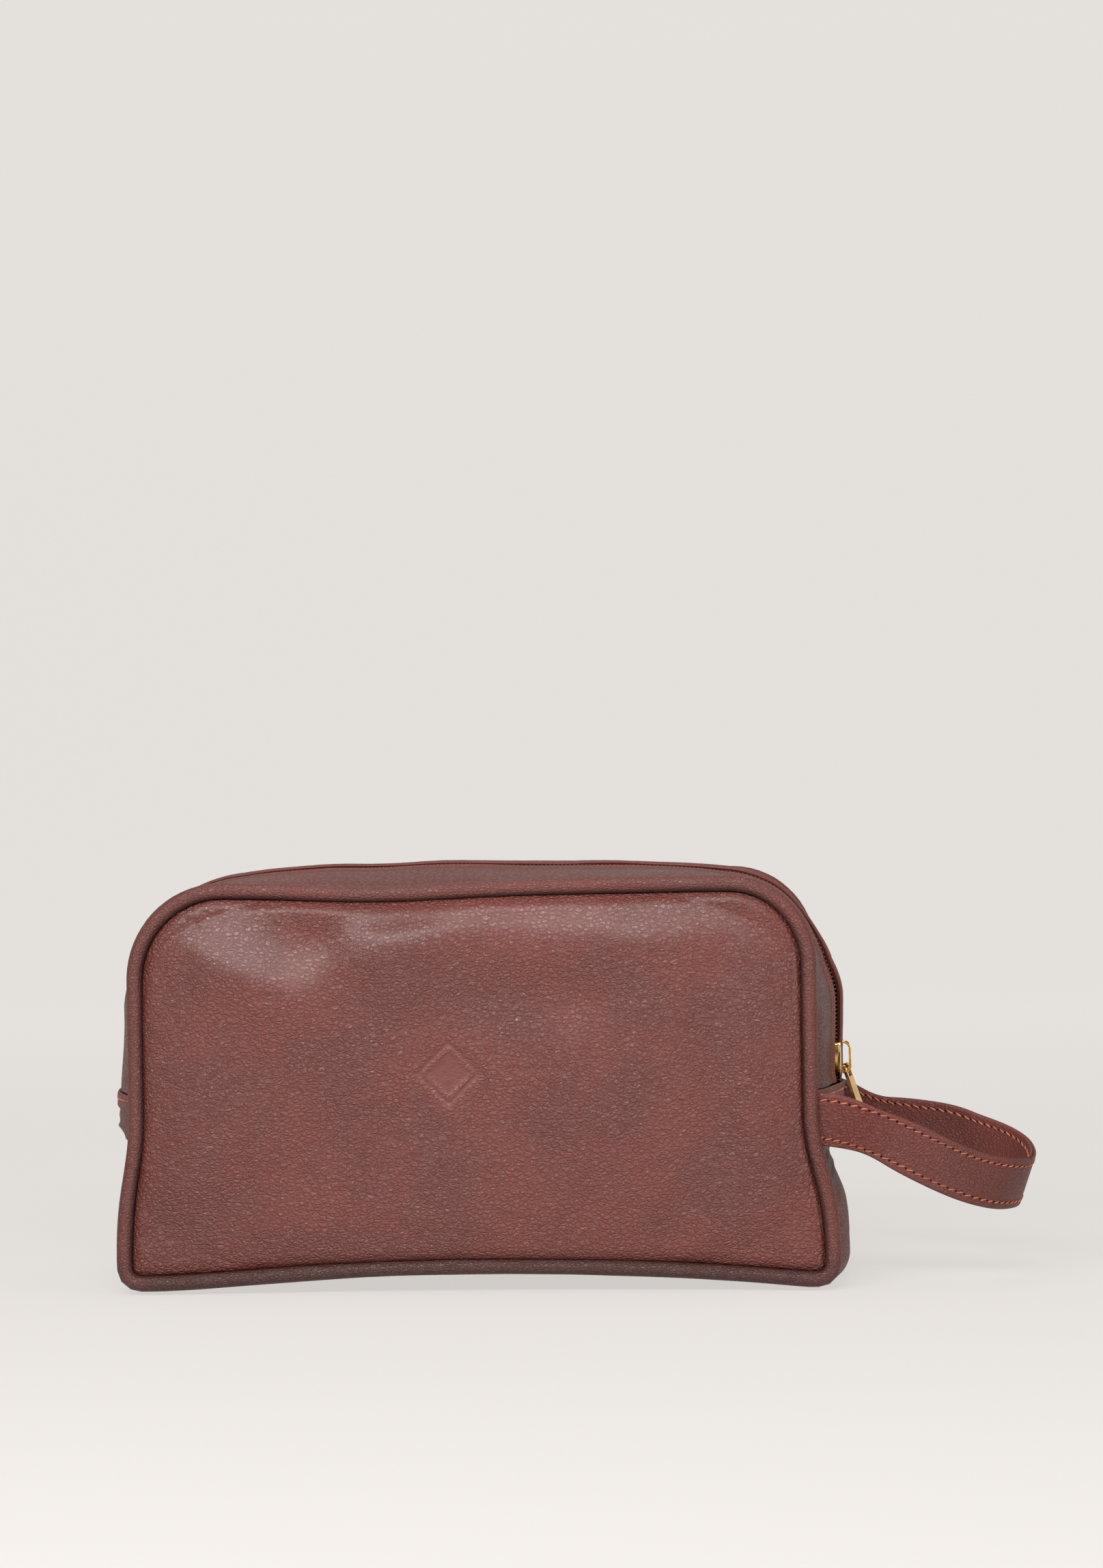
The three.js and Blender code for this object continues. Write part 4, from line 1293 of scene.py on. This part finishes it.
def slider_plate(name, inner, outer, rise):
    """A slider plate: broad and rounded at its lower mouth, narrower at its tail, domed outward."""
    low, high = slider_low.z, slider_high.z
    piece, u, v = add_grid(name, 26, 22)
    height = low + (high - low) * v
    mouth = slider_high.y
    half = mouth - (mouth - 0.0039) * smoothstep(v, 0.2, 1.0)
    nose = np.sqrt(np.clip(1 - (1 - np.clip(v / 0.20, 0, 1)) ** 2, 0, 1))
    tail = np.sqrt(np.clip(1 - (1 - np.clip((1 - v) / 0.10, 0, 1)) ** 2, 0, 1))
    width = half * (0.45 + 0.55 * np.minimum(nose, 0.2 + 0.8 * tail))
    y = (2 * u - 1) * width
    dome = rise * (1 - (2 * u - 1) ** 2) * smoothstep(np.minimum(v, 1 - v), 0.0, 0.25)
    lay(piece, np.stack([outer - rise + dome, y, height], axis=1))
    piece.data.update()
    if piece.data.polygons[len(piece.data.polygons) // 2].normal.x < 0:
        piece.data.flip_normals()
    apply_modifier(piece, "SOLIDIFY", thickness=outer - rise - inner, offset=-1)
    apply_modifier(piece, "BEVEL", width=0.00028, segments=3, limit_method="ANGLE", angle_limit=0.9)
    return piece


def make_slider_body():
    """The cast slider: an outer plate with turned-down sides, a back plate and the wedge between."""
    back = slider_low.x
    front = slider_high.x
    outer = slider_plate("slider_outer", front - 0.0014, front, 0.0003)
    inner = slider_plate("slider_inner", back, back + 0.0010, 0.0001)
    parts = [outer, inner]
    for side in (-1, 1):
        near, far = sorted((side * 0.0031, side * 0.0040))
        flange = add_block(
            "flange",
            (front - 0.0034, near, slider_low.z + 0.0024),
            (front - 0.0006, far, slider_high.z - 0.0009),
        )
        apply_modifier(flange, "BEVEL", width=0.0003, segments=3)
        parts.append(flange)
    wedge = add_block(
        "wedge",
        (back + 0.0008, -0.00055, slider_low.z + 0.0006),
        (front - 0.0012, 0.00055, slider_low.z + 0.0065),
    )
    apply_modifier(wedge, "BEVEL", width=0.0003, segments=2)
    parts.append(wedge)
    body = join(parts, "slider_body_cast")
    settle(body, "gold", body="slider", replaces=["slider_body"], angle=35)


def sweep_bar(name, path, half_width, thickness, steps=10):
    """A flat bar bent along a path in the XZ plane, with rounded long edges."""
    path = np.array(path)
    piece, u, v = add_grid(name, len(path) - 1, steps)
    index = np.rint(u * (len(path) - 1)).astype(int)
    tangent = np.gradient(path, axis=0)
    tangent /= np.linalg.norm(tangent, axis=1)[:, None]
    out = np.stack([tangent[:, 1], -tangent[:, 0]], axis=1)
    spot = path[index] + out[index] * thickness / 2
    lay(piece, np.stack([spot[:, 0], half_width * (2 * v - 1), spot[:, 1]], axis=1))
    apply_modifier(piece, "SOLIDIFY", thickness=thickness, offset=0)
    apply_modifier(piece, "BEVEL", width=0.0003, segments=3, limit_method="ANGLE", angle_limit=0.9)
    face_out(piece)
    return piece


def make_crown():
    """The arch over the slider that carries the puller."""
    thickness = 0.0011
    foot = crown_low.x + 0.0001
    top = crown_high.x - 0.0006 - thickness / 2
    low = crown_low.z + thickness / 2
    high = crown_high.z - thickness / 2
    radius = 0.0021
    turn = np.linspace(0, math.pi / 2, 9)
    lower = [(top - radius + radius * math.sin(a), low + radius - radius * math.cos(a)) for a in turn]
    upper = [(top - radius + radius * math.cos(a), high - radius + radius * math.sin(a)) for a in turn]
    path = [(foot, low)] + lower + upper + [(foot, high)]
    crown = sweep_bar("slider_crown_arch", path, (crown_high.y - crown_low.y) / 2, thickness)
    points = points_of(crown)
    middle = (low + high) / 2
    swell_share = np.exp(-(((points[:, 2] - middle) / 0.0035) ** 2))
    points[:, 1] *= 1 - 0.14 * swell_share
    lay(crown, points)
    settle(crown, "gold", body="slider", replaces=["slider_crown"], angle=35)


def make_puller():
    """The flat puller, hung from the crown by the bar above its eye."""
    pivot = Vector(joints["puller_swing"]["pos_m"])
    tilt = math.radians(18)
    length_below = 0.0231
    bar_half = 0.0009
    half = 0.0032
    thickness = 0.00125
    eye_half, eye_length = 0.0020, 0.0035
    slot_half, slot_top, slot_foot = 0.0013, -0.0175, -0.0200
    piece, u, v = add_grid("zip_puller_plate", 24, 60)
    height = bar_half - (bar_half + length_below) * v
    taper = half * (0.84 + 0.16 * smoothstep(v, 0.15, 0.75))
    tip = np.sqrt(np.clip(1 - (np.clip((v - 0.87) / 0.13, 0, 1)) ** 2, 0.02, 1))
    top = np.sqrt(np.clip(1 - (1 - np.clip(v / 0.05, 0, 1)) ** 2, 0.0, 1)) * 0.35 + 0.65
    y = (2 * u - 1) * taper * np.minimum(tip, top)
    lay(piece, np.stack([np.zeros_like(y), y, height], axis=1))
    cut_eye(piece, eye_half, -bar_half, -bar_half - eye_length)
    cut_eye(piece, slot_half, slot_top, slot_foot)
    apply_modifier(piece, "SOLIDIFY", thickness=thickness, offset=0)
    apply_modifier(piece, "BEVEL", width=0.00030, segments=3, limit_method="ANGLE", angle_limit=0.9)
    face_out(piece)
    twist = Matrix.Rotation(math.radians(-18), 4, "Z")
    turn = Matrix.Translation(pivot) @ Matrix.Rotation(-tilt, 4, "Y") @ twist
    piece.data.transform(turn)
    settle(piece, "gold", body="puller", replaces=["zip_puller"], angle=35)


def cut_eye(piece, half, high, low):
    """Opens a hole in a flat plate by deleting the faces inside it."""
    start_clean()
    bpy.context.view_layer.objects.active = piece
    piece.select_set(True)
    bpy.ops.object.mode_set(mode="EDIT")
    bpy.ops.mesh.select_mode(type="FACE")
    bpy.ops.mesh.select_all(action="DESELECT")
    bpy.ops.object.mode_set(mode="OBJECT")
    for polygon in piece.data.polygons:
        middle = polygon.center
        polygon.select = abs(middle.y) < half and low < middle.z < high
    bpy.ops.object.mode_set(mode="EDIT")
    bpy.ops.mesh.delete(type="FACE")
    bpy.ops.object.mode_set(mode="OBJECT")


# ---------- wrist loop ----------


class Strap:
    """The wrist loop's middle line, from the front seam round to the back seam."""

    def __init__(self):
        size = sizes()
        axis_x = joints["loop_lift"]["pos_m"][0]
        root_x = end_low.x - 0.0030
        reach = loop_high.x - 0.0014 - axis_x
        half = -(end_low.y + end_high.y) / 2
        turn = np.linspace(-math.pi / 2, math.pi / 2, 241)
        bend = np.stack([axis_x + reach * np.cos(turn), half * np.sin(turn)], axis=1)
        straight = np.linspace(root_x, axis_x, 40)[:-1]
        front = np.stack([straight, np.full_like(straight, -half)], axis=1)
        back = front[::-1] * np.array([1, -1])
        plan = np.vstack([front, bend, back])
        share = (plan[:, 0] - root_x) / (axis_x + reach - root_x)
        sag = np.sin(share * math.pi / 2) ** 2
        behind = smoothstep(plan[:, 1], -0.012, 0.030)
        low = -0.0020 * np.exp(-(((share - 0.25) / 0.13) ** 2))
        high = 0.0092 * smoothstep(share, 0.32, 0.74)
        droop = size.strap_droop * sag - behind * (low + high)
        line = np.column_stack([plan, STRAP_MIDDLE - droop])
        steps = np.linalg.norm(np.diff(line, axis=0), axis=1)
        self.distance = np.concatenate([[0], np.cumsum(steps)])
        self.length = self.distance[-1]
        along = np.gradient(line, self.distance, axis=0)
        along /= np.linalg.norm(along, axis=1)[:, None]
        out = np.stack([along[:, 1], -along[:, 0], np.zeros(len(along))], axis=1)
        out /= np.linalg.norm(out, axis=1)[:, None]
        up = np.cross(along, out)
        up *= np.sign(up[:, 2])[:, None]
        lean = -0.33 * smoothstep(share, 0.72, 1.0)
        self.out = out * np.cos(lean)[:, None] + up * np.sin(lean)[:, None]
        self.up = up * np.cos(lean)[:, None] - out * np.sin(lean)[:, None]
        self.line = line
        self.axis_x = axis_x

    def at(self, distance, values):
        return np.stack([np.interp(distance, self.distance, column) for column in values.T], axis=1)

    def half_width(self, distance):
        near = np.minimum(distance, self.length - distance)
        pinch = 0.0011 * np.exp(-(((near - 0.024) / 0.010) ** 2))
        return sizes().strap_width / 2 - 0.0003 - pinch

    def skin(self, side):
        """One face of the strap by distance and height share: side 1 is outside, -1 inside."""

        def surface(distance, across):
            half = self.half_width(distance)
            share = across / half
            line = self.at(distance, self.line)
            out = self.at(distance, self.out)
            up = self.at(distance, self.up)
            near = np.minimum(distance, self.length - distance)
            puff = 0.00118 - 0.00012 * np.exp(-(((np.abs(across) - half + 0.003) / 0.0007) ** 2))
            edge = 0.00055 * smoothstep(np.abs(share), 0.93, 1.0) ** 2
            crush = np.exp(-(((near - 0.018) / 0.009) ** 2)) * 0.00022
            wrinkle = crush * np.sin((distance + 0.55 * across) / 0.00052) * (1 - share ** 4)
            offset = side * (puff - edge) + wrinkle
            return line + out * offset[:, None] + up * across[:, None]

        return surface


def make_strap_skin(strap, name, side, replaces):
    """One leather layer of the strap, with a softly rounded edge."""
    piece, u, v = add_grid(name, 560, 40)
    distance = strap.length * u
    share = np.sin((v - 0.5) * math.pi) * 0.45 + (2 * v - 1) * 0.55
    across = share * strap.half_width(distance)
    lay(piece, strap.skin(side)(distance, across))
    near = np.minimum(distance, strap.length - distance)
    paint_attribute(piece, "worked", np.exp(-(((near - 0.018) / 0.012) ** 2)))
    paint_attribute(piece, "pressed", 0.5 * smoothstep(np.abs(share), 0.8, 0.95))
    piece.data.update()
    outward = strap.at(distance[:1], strap.out)[0] * side
    if np.dot(np.array(piece.data.polygons[0].normal), outward) < 0:
        piece.data.flip_normals()
    apply_modifier(piece, "SOLIDIFY", thickness=0.00112, offset=-1)
    apply_modifier(piece, "BEVEL", width=0.00035, segments=2, limit_method="ANGLE", angle_limit=1.0)
    settle(piece, "strap", body=None, replaces=replaces)
    bend_with_loop(piece)


def bend_with_loop(piece):
    """Bakes the piece's placement into its mesh."""
    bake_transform(piece)


def make_strap_stitching(strap):
    """Two rows of stitches on each face of the strap."""
    size = sizes()
    for place, side in (("outer", 1), ("inner", -1)):
        surface = strap.skin(side)
        frames = []
        pits = []
        for edge in (-1, 1):
            middles, holes = row_places(0.0026, strap.length - 0.0026, size.strap_pitch, 0.0)
            row = edge * (size.strap_width / 2 - STRAP_STITCH_INSET)
            for spots, found, lift in ((middles, frames, 0.00014), (holes, pits, HOLE_SINK)):
                across = np.full_like(spots, row)
                places = frames_on(surface, spots, across, 0.0)
                outward = strap.at(spots, strap.out) * side
                wrong = (places[:, :3, 2] * outward).sum(axis=1) < 0
                for axis in (1, 2):
                    places[wrong, :3, axis] *= -1
                places[:, :3, 3] += places[:, :3, 2] * lift
                found.append(places)
        slant = 1.2 * side
        stitches = scatter(
            f"strap_stitching_{place}", make_stitch(size.strap_pitch, 0.00060, slant), np.vstack(frames)
        )
        settle(stitches, "thread", body=None, angle=80)
        bend_with_loop(stitches)
        holes = scatter(f"strap_needle_holes_{place}", make_hole(0.00052), np.vstack(pits))
        settle(holes, "hole", body=None, angle=80)
        bend_with_loop(holes)


# ---------- operators ----------


class KITBAG_OT_finishes(bpy.types.Operator):
    """Makes the leather, cloth, nylon and metal finishes."""

    bl_idname = "kitbag.finishes"
    bl_label = "Finishes"

    def execute(self, context):
        make_materials()
        return {"FINISHED"}


class KITBAG_OT_panels(bpy.types.Operator):
    """Makes the two puffed side panels."""

    bl_idname = "kitbag.panels"
    bl_label = "Side panels"

    def execute(self, context):
        seam = Seam()
        for place, side in SIDES:
            make_panel(seam, place, side)
        return {"FINISHED"}


class KITBAG_OT_piping(bpy.types.Operator):
    """Makes the piping round both seams."""

    bl_idname = "kitbag.piping"
    bl_label = "Piping"

    def execute(self, context):
        seam = Seam()
        for place, side in SIDES:
            make_piping(seam, place, side)
            make_piping_filler(seam, place, side)
        return {"FINISHED"}


class KITBAG_OT_gusset(bpy.types.Operator):
    """Makes the base gusset and the two zip strips."""

    bl_idname = "kitbag.gusset"
    bl_label = "Gusset"

    def execute(self, context):
        seam = Seam()
        make_base_gusset(seam)
        for place, side in SIDES:
            make_zip_strip(seam, place, side)
        return {"FINISHED"}


class KITBAG_OT_zip(bpy.types.Operator):
    """Makes the zip's tapes and coils."""

    bl_idname = "kitbag.zip"
    bl_label = "Zip"

    def execute(self, context):
        seam = Seam()
        make_tapes(seam)
        make_coils(seam)
        return {"FINISHED"}


class KITBAG_OT_stitching(bpy.types.Operator):
    """Sews the zip strips and the folded gusset ends."""

    bl_idname = "kitbag.stitching"
    bl_label = "Stitching"

    def execute(self, context):
        make_zip_stitching(Seam())
        return {"FINISHED"}


class KITBAG_OT_slider(bpy.types.Operator):
    """Makes the slider, its crown and the puller."""

    bl_idname = "kitbag.slider"
    bl_label = "Slider and puller"

    def execute(self, context):
        make_slider_body()
        make_crown()
        make_puller()
        return {"FINISHED"}


class KITBAG_OT_wrist_loop(bpy.types.Operator):
    """Makes the wrist loop's two leather layers and their stitches."""

    bl_idname = "kitbag.wrist_loop"
    bl_label = "Wrist loop"

    def execute(self, context):
        strap = Strap()
        ends = ["handle_end_front", "handle_end_back"]
        make_strap_skin(strap, "strap_outer_leather", 1, ["handle_outer_strip"] + ends)
        make_strap_skin(strap, "strap_inner_leather", -1, ["handle_inner_strip", "handle_core"])
        make_strap_stitching(strap)
        return {"FINISHED"}


class KITBAG_OT_inside(bpy.types.Operator):
    """Makes the lining and the base board, and finishes the pocket."""

    bl_idname = "kitbag.inside"
    bl_label = "Inside"

    def execute(self, context):
        looks = {
            "lining": ["pocket_panel"],
            "gusset": ["pocket_binding"],
        }
        seam = Seam()
        make_linings(seam)
        make_board(seam)
        for look, nodes in looks.items():
            for node in nodes:
                mesh = frame["nodes"][node].data
                mesh.materials.clear()
                mesh.materials.append(materials[look])
        return {"FINISHED"}


class KITBAG_OT_stage(bpy.types.Operator):
    """Sets the floor, the lights and the camera."""

    bl_idname = "kitbag.stage"
    bl_label = "Stage"

    def execute(self, context):
        make_backdrop()
        make_lights()
        make_camera()
        return {"FINISHED"}


# ---------- stage ----------


def make_backdrop():
    """A pale floor that curves up into a wall far behind the bag."""
    piece, u, v = add_grid("backdrop", 8, 90)
    extent = 9.0
    near_edge = -1.9
    flat_end = 4.4
    radius = 1.6
    run = v * extent
    turn = np.clip((run - flat_end) / radius, 0, math.pi / 2)
    past = np.maximum(0, run - flat_end - radius * math.pi / 2)
    y = near_edge + np.minimum(run, flat_end) + radius * np.sin(turn)
    z = radius * (1 - np.cos(turn)) + past
    lay(piece, np.stack([(u - 0.5) * extent, y, z - 0.0002], axis=1))
    finish = Finish("backdrop_paper")
    tone = finish.noise(finish.place(), 1.5, 2.0)
    rgb = colours().backdrop
    shade = finish.blend(tone, opaque(rgb, 0.158), opaque(rgb, 0.162))
    depth = finish.node("ShaderNodeSeparateXYZ", {}, {0: finish.place()}, out="Y")
    glow = finish.blend(finish.ramp(depth, -0.1, 1.6), opaque(rgb, 0.80), opaque(rgb, 0.95))
    piece.data.materials.append(
        finish.surface(
            Base_Color=shade,
            Roughness=1.0,
            Specular_IOR_Level=0.0,
            Emission_Color=glow,
            Emission_Strength=1.0,
        )
    )
    bpy.ops.object.shade_smooth()


def add_softbox(name, place, target, width, height, power, tint=(1, 1, 1)):
    """A rectangular light that faces its target."""
    start_clean()
    bpy.ops.object.light_add(type="AREA", location=place)
    light = bpy.context.object
    light.name = name
    light.data.shape = "RECTANGLE"
    light.data.size = width
    light.data.size_y = height
    light.data.energy = power
    light.data.color = tint
    light.rotation_euler = (Vector(target) - Vector(place)).to_track_quat("-Z", "Y").to_euler()


def make_lights():
    """A dark studio with a broad light overhead, soft ones at the sides and a weak one in front."""
    aim = (0, 0, 0.09)
    add_softbox("front_top_light", (-0.20, -1.05, 0.70), aim, 1.1, 0.34, 24)
    add_softbox("top_light", (0.0, 0.10, 1.20), aim, 1.0, 0.6, 6)
    add_softbox("left_light", (-1.25, -0.30, 0.50), aim, 0.5, 0.9, 3.0)
    add_softbox("right_light", (1.10, -0.75, 0.42), aim, 0.35, 0.9, 9.0)
    world = bpy.context.scene.world or bpy.data.worlds.new("studio")
    bpy.context.scene.world = world
    world.use_nodes = True
    background = world.node_tree.nodes["Background"]
    background.inputs["Color"].default_value = (0.97, 0.98, 1.0, 1)
    background.inputs["Strength"].default_value = 0.05
    bpy.context.scene.view_settings.view_transform = "Standard"


def make_camera():
    """A long lens, nearly level and a little to the right of the bag."""
    aim = Vector((0.0282, 0, 0.1855))
    distance = 1.75
    azimuth = math.radians(3.2)
    pitch = math.radians(0.9)
    roll = math.radians(-0.8)
    view_height = 0.574
    back = Vector(
        (
            math.sin(azimuth) * math.cos(pitch),
            -math.cos(azimuth) * math.cos(pitch),
            math.sin(pitch),
        )
    )
    start_clean()
    bpy.ops.object.camera_add(location=aim + back * distance)
    camera = bpy.context.object
    level = (-back).to_track_quat("-Z", "Y")
    lean = Quaternion((0, 0, 1), roll)
    camera.rotation_euler = (level @ lean).to_euler()
    camera.data.sensor_width = 36
    frame_height = view_height * distance / (distance - PIPING_DEPTH)
    camera.data.lens = camera.data.sensor_width * distance / frame_height
    camera.data.clip_start = 0.05
    camera.data.clip_end = 30
    bpy.context.scene.camera = camera


# ---------- panel, registration and run ----------

STEPS = (
    KITBAG_OT_finishes,
    KITBAG_OT_panels,
    KITBAG_OT_piping,
    KITBAG_OT_gusset,
    KITBAG_OT_zip,
    KITBAG_OT_stitching,
    KITBAG_OT_slider,
    KITBAG_OT_wrist_loop,
    KITBAG_OT_inside,
    KITBAG_OT_stage,
)


class KITBAG_PT_sidebar(bpy.types.Panel):
    """Lists the sizes, the colours and the steps."""

    bl_idname = "KITBAG_PT_sidebar"
    bl_label = "Shaving kit bag"
    bl_space_type = "VIEW_3D"
    bl_region_type = "UI"
    bl_category = "Kit bag"

    def draw(self, context):
        for group in (context.scene.kit_bag_sizes, context.scene.kit_bag_colours):
            box = self.layout.box()
            for key in group.__annotations__:
                box.prop(group, key)
        for step in STEPS:
            self.layout.operator(step.bl_idname)


CLASSES = (KitBagSizes, KitBagColours, *STEPS, KITBAG_PT_sidebar)


def register():
    for item in CLASSES:
        bpy.utils.register_class(item)
    bpy.types.Scene.kit_bag_sizes = bpy.props.PointerProperty(type=KitBagSizes)
    bpy.types.Scene.kit_bag_colours = bpy.props.PointerProperty(type=KitBagColours)


def unregister():
    del bpy.types.Scene.kit_bag_colours
    del bpy.types.Scene.kit_bag_sizes
    for item in reversed(CLASSES):
        bpy.utils.unregister_class(item)


def main():
    """Builds the whole bag."""
    register()
    for step in STEPS:
        group, name = step.bl_idname.split(".")
        getattr(getattr(bpy.ops, group), name)()


if __name__ == "__main__":
    main()
